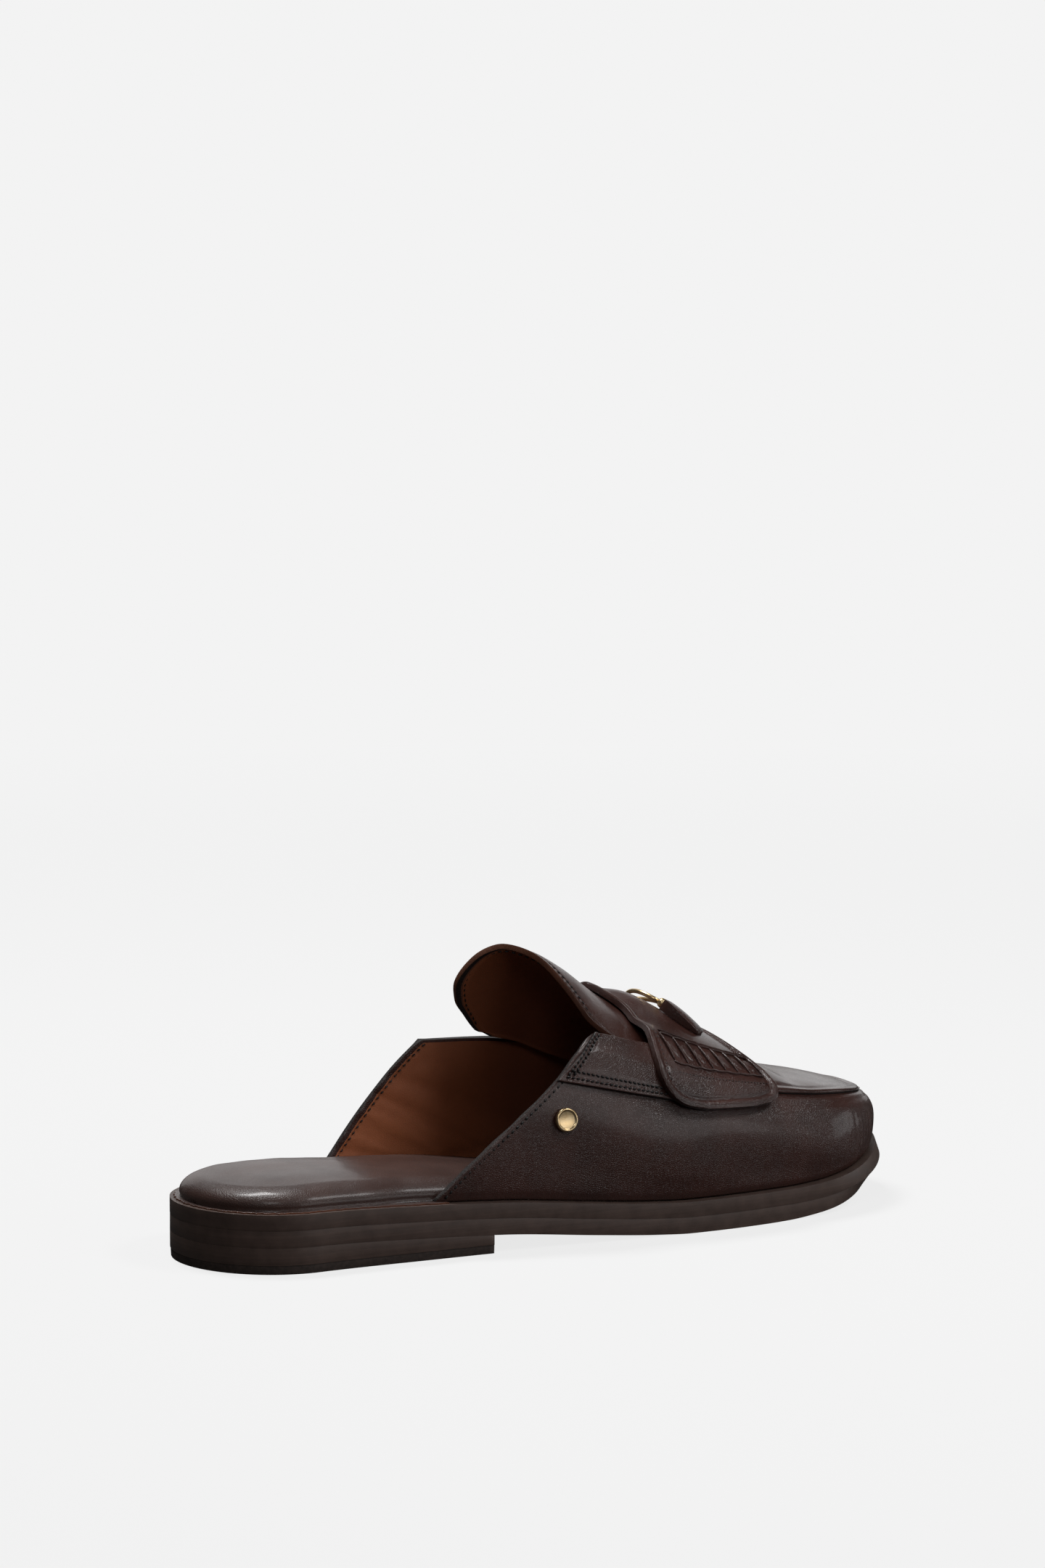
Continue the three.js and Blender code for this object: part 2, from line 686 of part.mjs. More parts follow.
function snaffleEnd(side) {
  const at = onStrap(side * (snaffleReach - ballDiameter / 2), 0, snaffleLift);
  const tip = onStrap(side * (snaffleReach + collarLength), 0, snaffleLift);
  const radius = ballDiameter / 2;
  const neck = collarDiameter / 2;
  const run = at.distanceTo(tip);
  const profile = even(8).map((u) => {
    const turn = Math.PI * (0.86 * u);
    return new THREE.Vector2(radius * Math.sin(turn), -radius * Math.cos(turn));
  });
  profile.push(new THREE.Vector2(neck, radius), new THREE.Vector2(neck, run), new THREE.Vector2(0, run));
  const turned = new THREE.LatheGeometry(profile, 16);
  const aim = new THREE.Quaternion().setFromUnitVectors(
    new THREE.Vector3(0, 1, 0),
    tip.clone().sub(at).normalize(),
  );
  turned.applyQuaternion(aim);
  turned.translate(at.x, at.y, at.z);
  return turned;
}

// A leather tab that arches from the ball's collar down to the strap
function keeperTab(side) {
  const start = snaffleReach + collarLength + seat;
  const rise = (v) => tabLift * Math.cos((Math.PI / 2) * Math.min(1, v * 1.02)) ** 0.7;
  return sheet(even(6), even(8), (u, v, layer) => {
    const across = side > 0 ? v : 1 - v;
    const half = (tabWidth / 2) * Math.sqrt(1 - 0.82 * across ** 3);
    const ahead = tabWidth * 0.18 + half * (2 * u - 1);
    const lift = seat + rise(across) + (layer ? tabThickness : 0);
    return onStrap(side * (start + tabLength * across), ahead, lift);
  });
}

// A flat-headed stud on the lateral quarter
function sideStud() {
  const station = stationOf(studAlong);
  const way = wayAtHeight(station, -1, studUp * instepHeight);
  const foot = offLast(station, way, seat);
  const out = lastNormal(station, way);
  const radius = studDiameter / 2;
  const rim = 0.09 * studDiameter;
  const profile = [
    new THREE.Vector2(0, 0),
    new THREE.Vector2(radius, 0),
    new THREE.Vector2(radius, studHeight * 0.7),
    new THREE.Vector2(radius - rim * 0.4, studHeight),
    new THREE.Vector2(radius - rim, studHeight),
    new THREE.Vector2(radius - rim * 1.3, studHeight * 0.75),
    new THREE.Vector2(0, studHeight * 0.8),
  ];
  const turned = new THREE.LatheGeometry(profile, 24);
  turned.applyQuaternion(new THREE.Quaternion().setFromUnitVectors(new THREE.Vector3(0, 1, 0), out));
  turned.translate(foot.x, foot.y, foot.z);
  return turned;
}

add("outsole", outsole(), soleLeather);
add("midsole", midsole(), soleLeather);
add("heel_block", heelBlock(), soleLeather);
add("heel_top_lift", heelLift(), rubber);
add("insole", insole(), insoleLeather);
add("upper", upper(), brownLeather);
add("tongue", tongue(), brownLeather);
add("collar_panel_lateral", collarPanel(LATERAL_EDGE, LATERAL_PANEL, -1), brownLeather);
add("collar_panel_medial", collarPanel(MEDIAL_EDGE, MEDIAL_PANEL, 1), brownLeather);
add("saddle_strap", saddleStrap(), brownLeather);
add("lacing_lateral", lacing(LATERAL_LACING, -1), brownLeather);
add("lacing_medial", lacing(MEDIAL_LACING, 1), brownLeather);
add("snaffle_link", snaffleLink(), brass);
add("snaffle_end_lateral", snaffleEnd(-1), brass);
add("snaffle_end_medial", snaffleEnd(1), brass);
add("keeper_tab_lateral", keeperTab(-1), brownLeather);
add("keeper_tab_medial", keeperTab(1), brownLeather);
add("side_stud", sideStud(), brass);

// The origin goes to the middle of the base
const bounds = new THREE.Box3().setFromObject(shoe);
const middle = bounds.getCenter(new THREE.Vector3());
shoe.position.set(-middle.x, -middle.y, -bounds.min.z);

export default shoe;
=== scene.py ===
# %% [markdown]
# A backless leather loafer, dressed for its portrait. The measured part comes in first as a fixed frame.
# Every leather piece is then laid over the same last, the solid form a shoemaker pulls leather over, so
# the visible pieces stay within a few millimetres of the measured ones. Lengths here are millimetres
# until a piece is finished.

# %% Load the measured part
import math
import bmesh
import bpy
import numpy as np
from mathutils import Matrix, Vector


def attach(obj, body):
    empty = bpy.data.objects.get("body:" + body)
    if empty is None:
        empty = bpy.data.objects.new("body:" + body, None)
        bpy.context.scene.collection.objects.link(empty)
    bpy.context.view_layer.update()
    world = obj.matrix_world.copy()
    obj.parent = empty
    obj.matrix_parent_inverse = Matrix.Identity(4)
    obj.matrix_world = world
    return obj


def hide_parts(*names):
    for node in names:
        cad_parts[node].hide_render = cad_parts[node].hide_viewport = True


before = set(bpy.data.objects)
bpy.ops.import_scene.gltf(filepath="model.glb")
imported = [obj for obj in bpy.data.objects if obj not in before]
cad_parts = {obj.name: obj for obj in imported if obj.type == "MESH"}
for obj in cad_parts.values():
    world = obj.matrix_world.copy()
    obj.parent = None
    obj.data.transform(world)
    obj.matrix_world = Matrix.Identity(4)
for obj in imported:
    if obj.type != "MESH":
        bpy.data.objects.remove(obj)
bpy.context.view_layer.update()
HEEL_BACK = -134.0
MIDLINE = 0.94

# %% [markdown]
# The portrait was taken low and from behind the outer side with a long lens. The camera looks at a point
# in the air above the shoe's waist, so the shoe stands in the lower half of a tall frame.

# %% Camera
CAMERA_YAW = math.radians(33.0)
CAMERA_RISE = math.radians(11.3)
CAMERA_DISTANCE = 1.5
FOCAL_PIXELS = 6210.0
TALL = 2160.0
WIDE = 1440.0
AIM = Vector((-0.0075, MIDLINE / 1000, 0.0))
AIM_PIXEL = (716.0, 1683.0)

away = Vector((-math.sin(CAMERA_YAW), -math.cos(CAMERA_YAW), 0)) * math.cos(CAMERA_RISE)
away.z = math.sin(CAMERA_RISE)
pitch = math.atan((AIM_PIXEL[1] - TALL / 2) / FOCAL_PIXELS) - CAMERA_RISE
turn = math.atan((AIM_PIXEL[0] - WIDE / 2) / FOCAL_PIXELS)
lens = bpy.data.cameras.new("portrait_lens")
lens.sensor_fit = "VERTICAL"
lens.sensor_height = 36.0
lens.lens = 36.0 * FOCAL_PIXELS / TALL
lens.clip_end = 100.0
camera = bpy.data.objects.new("portrait_camera", lens)
camera.location = AIM + away * CAMERA_DISTANCE
camera.rotation_euler = (math.pi / 2 + pitch, 0, -CAMERA_YAW + turn)
bpy.context.scene.collection.objects.link(camera)
bpy.context.scene.camera = camera
print("camera at", [round(c, 3) for c in camera.location])

# %% [markdown]
# The last is written as short tables of shares: along the sole, and up the instep. A smooth curve runs
# through each column without overshooting, which is what a pattern cutter's spline does.

# %% Tables of the last
SOLE_LENGTH = 268.0
BALL_WIDTH = 94.0
INSTEP = 80.0
HEEL_ROUND = 30.0
TOE_ROUND = 50.0
TOE_SQUARENESS = 2.3
OUTSOLE_THICKNESS = 5.1
MIDSOLE_THICKNESS = 5.0
HEEL_RISE = 8.6
LIFT_THICKNESS = 2.8
TOE_SPRING = 9.6
SEAT = 0.3
WELT_MARGIN = 3.0
WALL_BULGE = 0.9
HEEL_BREAST = 0.342
WALL_SHARE = 0.3
CROWN_POWER = 1.9
RIDGE_PLACE = 0.2

# along, lateral half width, medial half width
OUTLINE = [
    (0.0, 0.352, 0.352), (0.12, 0.358, 0.355), (0.26, 0.392, 0.345), (0.4, 0.432, 0.345),
    (0.55, 0.482, 0.39), (0.68, 0.51, 0.455), (0.8, 0.49, 0.49), (0.92, 0.425, 0.475),
    (1.0, 0.36, 0.44),
]
# along, rise, toe spring
SOLE_RISE = [
    (0.0, 1.0, 0), (0.12, 0.97, 0), (0.25, 0.84, 0), (0.36, 0.66, 0), (0.48, 0.3, 0), (0.57, 0.06, 0),
    (0.61, 0, 0), (0.76, 0, 0), (0.8, 0, 0.04), (0.88, 0, 0.26), (0.94, 0, 0.58), (1.0, 0, 1.0),
]
# along, seam inset lateral and medial, seam height, ridge height, how late the wall turns in
LAST = [
    (0.2, 0.075, 0.02, 0.72, 1.0, 1.6), (0.36, 0.09, 0.022, 0.775, 1.14, 1.7),
    (0.45, 0.1, 0.035, 0.775, 1.18, 1.9), (0.49, 0.105, 0.05, 0.755, 1.15, 2.1),
    (0.53, 0.112, 0.065, 0.725, 1.08, 2.4), (0.58, 0.117, 0.09, 0.66, 0.955, 2.8),
    (0.63, 0.116, 0.1, 0.605, 0.862, 3.3), (0.68, 0.112, 0.105, 0.57, 0.775, 3.7),
    (0.733, 0.108, 0.106, 0.54, 0.695, 4.0), (0.785, 0.103, 0.103, 0.515, 0.63, 4.2),
    (0.825, 0.099, 0.099, 0.5, 0.556, 4.4), (0.87, 0.093, 0.093, 0.487, 0.526, 4.6),
    (0.93, 0.083, 0.083, 0.465, 0.49, 4.8), (1.0, 0.073, 0.073, 0.43, 0.438, 5.0),
]


def smooth(rows, column):
    """A smooth curve, with no overshoot, through one column of a table."""
    xs = np.array([row[0] for row in rows], float)
    ys = np.array([row[column] for row in rows], float)
    rise = np.diff(ys) / np.diff(xs)
    before, after = rise[:-1], rise[1:]
    total = np.where(before + after == 0, 1, before + after)
    inner = np.where(before * after <= 0, 0, 2 * before * after / total)
    slopes = np.concatenate([rise[:1], inner, rise[-1:]])

    def at(x):
        x = np.clip(np.asarray(x, float), xs[0], xs[-1])
        i = np.clip(np.searchsorted(xs, x, side="right") - 1, 0, len(xs) - 2)
        width = xs[i + 1] - xs[i]
        t = (x - xs[i]) / width
        u = 1 - t
        flat = ys[i] * (1 + 2 * t) * u * u + ys[i + 1] * (3 - 2 * t) * t * t
        return flat + width * t * u * (slopes[i] * u - slopes[i + 1] * t)

    return at


lateral_width, medial_width = smooth(OUTLINE, 1), smooth(OUTLINE, 2)
sole_rise, sole_spring = smooth(SOLE_RISE, 1), smooth(SOLE_RISE, 2)
seam_in_lateral, seam_in_medial = smooth(LAST, 1), smooth(LAST, 2)
seam_up, ridge_up, wall_roll = smooth(LAST, 3), smooth(LAST, 4), smooth(LAST, 5)
print("tables of the last:", len(OUTLINE) + len(SOLE_RISE) + len(LAST), "rows")

# %% [markdown]
# Two numbers name any place on the last. A station runs from the back of the heel to the toe's tip, and a
# way runs round the last from the outer edge of the sole, over the instep, to the inner edge.

# %% Points and normals of the last


def walking_side(x):
    return HEEL_RISE * sole_rise(x / SOLE_LENGTH) + TOE_SPRING * sole_spring(x / SOLE_LENGTH)


def sole_top(x):
    return walking_side(x) + OUTSOLE_THICKNESS + SEAT + MIDSOLE_THICKNESS


def place_of(station):
    return SOLE_LENGTH * (1 - np.cos(np.pi * station)) / 2


def station_of(share):
    return np.arccos(1 - 2 * np.clip(share, 0, 1)) / np.pi


def raw_edge(station, side):
    x = place_of(station)
    share = x / SOLE_LENGTH
    lateral, medial = lateral_width(share) * BALL_WIDTH, medial_width(share) * BALL_WIDTH
    back = np.sqrt(np.clip(1 - np.clip(1 - x / HEEL_ROUND, 0, 1) ** 2, 0, 1))
    ahead = np.clip((x - SOLE_LENGTH + TOE_ROUND) / TOE_ROUND, 0, 1)
    front = np.clip(1 - ahead**TOE_SQUARENESS, 0, 1) ** (1 / TOE_SQUARENESS)
    y = (medial - lateral) / 2 + side * (lateral + medial) / 2 * back * front
    return np.stack([x, y + 0 * x], -1)


def edge_point(station, side, inset):
    station = np.asarray(station, float)
    side = np.asarray(side, float)
    step = 1e-4
    run = raw_edge(np.minimum(1, station + step), side) - raw_edge(np.maximum(0, station - step), side)
    size = np.linalg.norm(run, axis=-1, keepdims=True)
    run = run / np.where(size == 0, 1, size)
    inward = np.stack([side * run[..., 1], -side * run[..., 0]], -1)
    inward[station <= 0] = (1, 0)
    inward[station >= 1] = (-1, 0)
    return raw_edge(station, side) + inward * np.asarray(inset, float)[..., None]


def seam_inset(share, side):
    return np.where(side < 0, seam_in_lateral(share), seam_in_medial(share)) * BALL_WIDTH


def last_point(station, way):
    station, way = np.broadcast_arrays(np.asarray(station, float), np.asarray(way, float))
    side = np.where(way <= 0.5, -1.0, 1.0)
    down = np.where(side < 0, way, 1 - way)
    x = place_of(station)
    share = x / SOLE_LENGTH
    feather = sole_top(x) + SEAT
    seam_height = seam_up(share) * INSTEP
    v = np.clip(down / WALL_SHARE, 0, 1)
    inset = seam_inset(share, side)
    turned = WELT_MARGIN + (inset - WELT_MARGIN) * v ** wall_roll(share) - WALL_BULGE * np.sin(np.pi * v)
    wall = edge_point(station, side, turned)
    wall_z = feather + (seam_height - feather) * v
    across = (way - 0.5) / (0.5 - WALL_SHARE)
    lateral = edge_point(station, -np.ones_like(side), seam_inset(share, -1.0))
    medial = edge_point(station, np.ones_like(side), seam_inset(share, 1.0))
    flat = lateral + (medial - lateral) * ((across + 1) / 2)[..., None]
    crown = (ridge_up(share) - seam_up(share)) * INSTEP
    out = np.where(across < RIDGE_PLACE, (RIDGE_PLACE - across) / (1 + RIDGE_PLACE),
                   (across - RIDGE_PLACE) / (1 - RIDGE_PLACE))
    crown_z = seam_height + crown * (1 - np.abs(out) ** CROWN_POWER)
    on_wall = (down <= WALL_SHARE) | (station >= 1)
    xy = np.where(on_wall[..., None], wall, flat)
    return np.concatenate([xy, np.where(on_wall, wall_z, crown_z)[..., None]], -1)


def unit(vectors):
    return vectors / np.maximum(np.linalg.norm(vectors, axis=-1, keepdims=True), 1e-12)


def last_normal(station, way):
    station, way = np.broadcast_arrays(np.asarray(station, float), np.asarray(way, float))
    ahead = last_point(np.minimum(0.9999, station + 2e-3), way) - last_point(station - 2e-3, way)
    low, high = np.maximum(0, way - 4e-3), np.minimum(1, way + 4e-3)
    over = last_point(station, high) - last_point(station, low)
    normal = unit(np.cross(ahead, over))
    tip = station > 0.9995
    down = np.minimum(np.minimum(way, 1 - way), WALL_SHARE)
    rise = last_point(np.ones_like(way), np.minimum(WALL_SHARE, down + 4e-3))
    rise = rise - last_point(np.ones_like(way), np.maximum(0, down - 4e-3))
    flat = unit(np.stack([rise[..., 2], 0 * down, -rise[..., 0]], -1))
    return np.where(tip[..., None], flat, normal)


def off_last(station, way, distance):
    return last_point(station, way) + last_normal(station, way) * np.asarray(distance, float)[..., None]


def way_at(x, side, height):
    """The way at which the last's skin reaches a height over a place x."""
    share = x / SOLE_LENGTH
    feather = sole_top(x) + SEAT
    seam_height = seam_up(share) * INSTEP
    crown = np.maximum((ridge_up(share) - seam_up(share)) * INSTEP, 1e-6)
    low = WALL_SHARE * (height - feather) / (seam_height - feather)
    out = np.clip(1 - (height - seam_height) / crown, 0, 1) ** (1 / CROWN_POWER)
    across = np.where(side < 0, RIDGE_PLACE - out * (1 + RIDGE_PLACE),
                      RIDGE_PLACE + out * (1 - RIDGE_PLACE))
    high = 0.5 + across * (0.5 - WALL_SHARE)
    high = np.where(side < 0, high, 1 - high)
    down = np.where(height <= seam_height, low, high)
    return np.where(side < 0, down, 1 - down)


def to_model(points):
    return (points + np.array([HEEL_BACK, MIDLINE, 0.0])) / 1000


print("ball of the last:", to_model(last_point(0.55, np.array([0.3, 0.5]))).round(3).tolist())

# %% [markdown]
# Most leather pieces begin as a flat grid, like a skin on the cutting table. The grid is extruded once
# for its thickness and each of its points is moved to its place on the last. The cut rim is then
# bevelled, because a real cut edge is never sharp.

# %% Sheets of leather


def finish_piece(name, mesh, finishes):
    data = bpy.data.meshes.new(name)
    mesh.to_mesh(data)
    mesh.free()
    for finish in finishes:
        data.materials.append(finish)
    data.polygons.foreach_set("use_smooth", [True] * len(data.polygons))
    piece = bpy.data.objects.new(name, data)
    bpy.context.scene.collection.objects.link(piece)
    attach(piece, "root")
    print(name, len(data.polygons), "faces")
    return piece


def move_to(verts, points):
    for vert, point in zip(verts, points):
        vert.co = point


def sheet(name, counts, place, finishes, bevels=(0.4, 0.4), inner_slot=None, segments=2):
    """place(u, v, layer) gives points for shares u and v, on the inner (0) or outer (1) face."""
    mesh = bmesh.new()
    bmesh.ops.create_grid(mesh, x_segments=counts[0], y_segments=counts[1], size=0.5)
    lining = list(mesh.faces)
    inner = list(mesh.verts)
    grown = bmesh.ops.extrude_face_region(mesh, geom=lining, use_keep_orig=True)["geom"]
    skin = [part for part in grown if isinstance(part, bmesh.types.BMFace)]
    outer = [part for part in grown if isinstance(part, bmesh.types.BMVert)]
    rim_slot = min(2, len(finishes) - 1)
    for face in mesh.faces:
        face.material_index = rim_slot
    for face in skin:
        face.material_index = 0
    for face in lining:
        middle = face.calc_center_median()
        slot = min(1, len(finishes) - 1)
        if inner_slot is not None:
            slot = inner_slot(middle.x + 0.5, middle.y + 0.5)
        face.material_index = slot
    for layer, verts in ((0, inner), (1, outer)):
        shares = np.array([(vert.co.x + 0.5, vert.co.y + 0.5) for vert in verts])
        move_to(verts, to_model(place(shares[:, 0], shares[:, 1], layer)))
    bmesh.ops.remove_doubles(mesh, verts=mesh.verts, dist=2e-6)
    bmesh.ops.recalc_face_normals(mesh, faces=mesh.faces)
    rims = []
    for layer in (inner, outer):
        border = {vert for vert in layer if vert.is_valid}
        rims.append([edge for edge in mesh.edges if all(vert in border for vert in edge.verts)
                     and sum(all(vert in border for vert in face.verts) for face in edge.link_faces) == 1])
    for rim, bevel in zip(rims, bevels):
        rim = [edge for edge in rim if edge.is_valid]
        if bevel == 0:
            continue
        bmesh.ops.bevel(mesh, geom=rim, offset=bevel / 1000, offset_type="OFFSET", segments=segments,
                        profile=0.5, affect="EDGES", material=-1, clamp_overlap=True)
    return finish_piece(name, mesh, finishes)


def ease(x, low, high):
    """Goes smoothly from 0 at low to 1 at high."""
    t = np.clip((x - low) / (high - low), 0, 1)
    return t * t * (3 - 2 * t)


def gathered(t):
    """Shares from 0 to 1, closer together at both ends."""
    return (1 - np.cos(np.pi * t)) / 2


def bump(x, width):
    return np.exp(-((x / width) ** 2))


# %% [markdown]
# Shader maths reads best as ordinary sums. A small class wraps a socket so that + and * each add a Math
# node, and a Finish holds one material with a single way to add any other node.

# %% Shader sums


class Value:
    """A shader number that + and * work on."""

    def __init__(self, finish, socket):
        self.finish = finish
        self.socket = socket

    def sum(self, operation, first, second):
        return self.finish.node("ShaderNodeMath", {"operation": operation}, {0: first, 1: second})

    def __add__(self, other):
        return self.sum("ADD", self, other)

    def __radd__(self, other):
        return self.sum("ADD", other, self)

    def __mul__(self, other):
        return self.sum("MULTIPLY", self, other)

    def __rmul__(self, other):
        return self.sum("MULTIPLY", other, self)


class Finish:
    """One material, built a node at a time."""

    def __init__(self, name, **constants):
        self.material = bpy.data.materials.new(name)
        self.material.use_nodes = True
        self.tree = self.material.node_tree
        self.shader = self.tree.nodes["Principled BSDF"]
        for socket, value in constants.items():
            self.shader.inputs[socket.replace("_", " ")].default_value = value
        self.place = self.node("ShaderNodeTexCoord", {}, {}, "Object")

    def node(self, kind, settings, inputs, output=0):
        made = self.tree.nodes.new(kind)
        for setting, value in settings.items():
            if setting == "stops":
                ramp = made.color_ramp.elements
                while len(ramp) < len(value):
                    ramp.new(0.5)
                for stop, (position, shade) in zip(ramp, value):
                    stop.position = position
                    stop.color = shade
            else:
                setattr(made, setting, value)
        for socket, value in inputs.items():
            if isinstance(value, Value):
                self.tree.links.new(value.socket, made.inputs[socket])
            else:
                made.inputs[socket].default_value = value
        return Value(self, made.outputs[output])

    def noise(self, scale, detail=4.0, roughness=0.5, stretch=None):
        place = self.place
        if stretch:
            place = self.node("ShaderNodeMapping", {}, {"Vector": place, "Scale": stretch})
        settings = {"Vector": place, "Scale": scale, "Detail": detail, "Roughness": roughness}
        return self.node("ShaderNodeTexNoise", {}, settings, "Fac")

    def cells(self, scale):
        inputs = {"Vector": self.place, "Scale": scale}
        return self.node("ShaderNodeTexVoronoi", {"feature": "DISTANCE_TO_EDGE"}, inputs, "Distance")

    def ramp(self, value, stops):
        return self.node("ShaderNodeValToRGB", {"stops": stops}, {"Fac": value})

    def mix(self, amount, first, second):
        settings = {"data_type": "RGBA"}
        return self.node("ShaderNodeMix", settings, {0: amount, 6: first, 7: second}, 2)

    def feed(self, socket, value):
        self.tree.links.new(value.socket, self.shader.inputs[socket])

    def raise_by(self, height, distance, strength=1.0, under=None):
        inputs = {"Height": height, "Distance": distance, "Strength": strength}
        if under is not None:
            inputs["Normal"] = under
        relief = self.node("ShaderNodeBump", {}, inputs, "Normal")
        self.feed("Normal", relief)
        return relief


def color(red, green, blue):
    """An sRGB colour, 0 to 255, as the linear colour that a shader wants."""
    shares = (red / 255, green / 255, blue / 255)
    linear = [c / 12.92 if c <= 0.04045 else ((c + 0.055) / 1.055) ** 2.4 for c in shares]
    return (*linear, 1.0)


BLACK = (0, 0, 0, 1)
WHITE = (1, 1, 1, 1)
print("middle grey as linear light:", round(color(128, 128, 128)[0], 3))


# %% [markdown]
# Calf leather is dyed, polished and then worn a little: the pores show as a net of fine cells, the dye
# pools unevenly, and the polish makes some places glossier than others. A picture of leather could be
# wrapped round each piece, but cells and noise on Object coordinates need no file. The tan lining is
# painted darker toward the toe, which stands in for the shade inside the shoe.

# %% Leathers


def leather(name, deep, light, gloss=0.25, grain=0.000065, cell=1800.0, coat=0.25, front=None):
    finish = Finish(name, Coat_Weight=coat, Coat_Roughness=0.16, Specular_IOR_Level=0.5)
    mottle = finish.noise(38.0, 5.0, 0.6)
    tone = finish.ramp(mottle, [(0.3, deep), (0.72, light)])
    pores = finish.ramp(finish.cells(cell), [(0.0, BLACK), (0.3, WHITE)])
    if front:
        # a ramp reads 0 to 1, and this brings 0.1 m on both sides of the middle into it
        along = finish.node("ShaderNodeSeparateXYZ", {}, {"Vector": finish.place}, "X") * 5.0 + 0.5
        surface = finish.mix(finish.ramp(along, [(0.2, BLACK), (0.55, WHITE)]), tone, front)
    else:
        surface = finish.mix(pores * 0.4 + 0.6, deep, tone)
    finish.feed("Base Color", surface)
    finish.feed("Roughness", finish.noise(70.0, 3.0) * 0.2 + pores * -0.06 + gloss)
    height = pores * 0.8 + finish.noise(cell * 0.5, 2.0) * 0.5
    relief = finish.raise_by(height, grain, 1.0)
    finish.raise_by(finish.noise(60.0, 3.0), 0.0007, 0.35, relief)
    return finish.material


UPPER_LEATHER = leather("brown_calf", color(46, 25, 20), color(80, 45, 37))
PLUG_LEATHER = leather("brown_calf_smooth", color(44, 24, 20), color(72, 41, 34), 0.22, 0.00003)
LINING = leather("tan_lining", color(166, 94, 57), color(208, 124, 79), 0.5, 0.00004, 1500.0, 0.0,
                 color(112, 62, 40))
INSOLE_LEATHER = leather("insole_calf", color(56, 36, 31), color(84, 58, 50), 0.37, 0.00005, 1500.0)
RAW_EDGE = leather("raw_edge", color(84, 50, 36), color(140, 84, 56), 0.7, 0.00008, 2200.0, 0.0)
DARK_EDGE = leather("inked_edge", color(24, 16, 14), color(42, 29, 26), 0.6, 0.00012, 1500.0, 0.05)
print("leathers:", len(bpy.data.materials))

# %% [markdown]
# The sole's edge is built of stacked leather that has been ground, stained and waxed, so faint level
# lines run along it. Noise that is squeezed in height draws them. The heel's last layer is rubber.

# %% Sole, rubber, thread and metal


def stacked_leather():
    finish = Finish("stained_sole_edge", Coat_Weight=0.12, Coat_Roughness=0.35)
    layers = finish.noise(9.0, 6.0, 0.7, (1.0, 1.0, 70.0))
    scuff = finish.noise(220.0, 4.0)
    tone = finish.ramp(layers * 0.5 + scuff * 0.5, [(0.3, color(70, 55, 49)), (0.7, color(98, 79, 71))])
    finish.feed("Base Color", tone)
    finish.feed("Roughness", scuff * 0.2 + 0.4)
    finish.raise_by(layers + scuff * 0.3, 0.00009, 0.6)
    return finish.material


def tread():
    finish = Finish("worn_tread")
    scuff = finish.noise(60.0, 8.0, 0.65, (1.0, 3.0, 1.0))
    finish.feed("Base Color", finish.ramp(scuff, [(0.35, color(120, 84, 58)), (0.7, color(158, 118, 86))]))
    finish.feed("Roughness", scuff * 0.3 + 0.5)
    finish.raise_by(scuff, 0.0003, 0.5)
    return finish.material


def rubber():
    finish = Finish("heel_rubber")
    speck = finish.noise(700.0, 3.0)
    finish.feed("Base Color", finish.ramp(speck, [(0.3, color(48, 38, 34)), (0.7, color(70, 57, 52))]))
    finish.feed("Roughness", speck * 0.15 + 0.65)
    finish.raise_by(speck, 0.0001, 0.5)
    return finish.material


def thread():
    finish = Finish("waxed_thread")
    strand = finish.noise(1800.0, 2.0)
    finish.feed("Base Color", finish.ramp(strand, [(0.3, color(12, 9, 9)), (0.75, color(30, 24, 23))]))
    finish.feed("Roughness", strand * 0.2 + 0.45)
    finish.raise_by(strand, 0.0001, 0.6)
    return finish.material


def gold():
    finish = Finish("pale_gold", Metallic=1.0)
    rub = finish.noise(500.0, 4.0)
    finish.feed("Base Color", finish.ramp(rub, [(0.3, color(226, 192, 140)), (0.75, color(250, 226, 184))]))
    finish.feed("Roughness", rub * 0.14 + 0.26)
    finish.raise_by(rub, 0.00005, 0.3)
    return finish.material


SOLE_EDGE = stacked_leather()
TREAD = tread()
RUBBER = rubber()
THREAD = thread()
GOLD = gold()
print("finishes:", len(bpy.data.materials))

# %% [markdown]
# The sole is a stack: an outsole, a welt layer over it, a built-up heel and a rubber lift. Each layer
# could be cut from a box, but one grid laid between the two edges of the sole and extruded follows the
# rise of the heel and the spring of the toe. Stations lie closer together at the heel and the toe, so the
# outline stays smooth there.

# %% Sole layers
TOE_DRAWN_IN = 5.5
TOE_GROUND_OFF = 2.4
# a hair of room between two layers
JOINT = 0.05


def plain(inset):
    return lambda share: inset


def nose(share):
    """The outsole's walking side is drawn in round the toe, where the edge is sanded up to the welt."""
    return TOE_DRAWN_IN * ease(share, 0.82, 1.0)


def sanded_side(x):
    """The walking side, ground thinner toward the toe."""
    return walking_side(x) + TOE_GROUND_OFF * ease(x / SOLE_LENGTH, 0.72, 1.0)


def slab(name, first, last, inset, low, high, finishes, bevels, counts=(150, 14)):
    start, end = station_of(first), station_of(last)

    def place(u, v, layer):
        station = start + (end - start) * u
        drawn = inset[layer](place_of(station) / SOLE_LENGTH) + 0 * u
        lateral, medial = edge_point(station, -1 + 0 * u, drawn), edge_point(station, 1 + 0 * u, drawn)
        xy = lateral + (medial - lateral) * gathered(v)[:, None]
        return np.column_stack([xy, (high if layer else low)(xy[:, 0]) + 0 * u])

    return sheet(name, counts, place, finishes, bevels, lambda u, v: min(1, len(finishes) - 1), 3)


def welt_base(x):
    return walking_side(x) + OUTSOLE_THICKNESS + SEAT


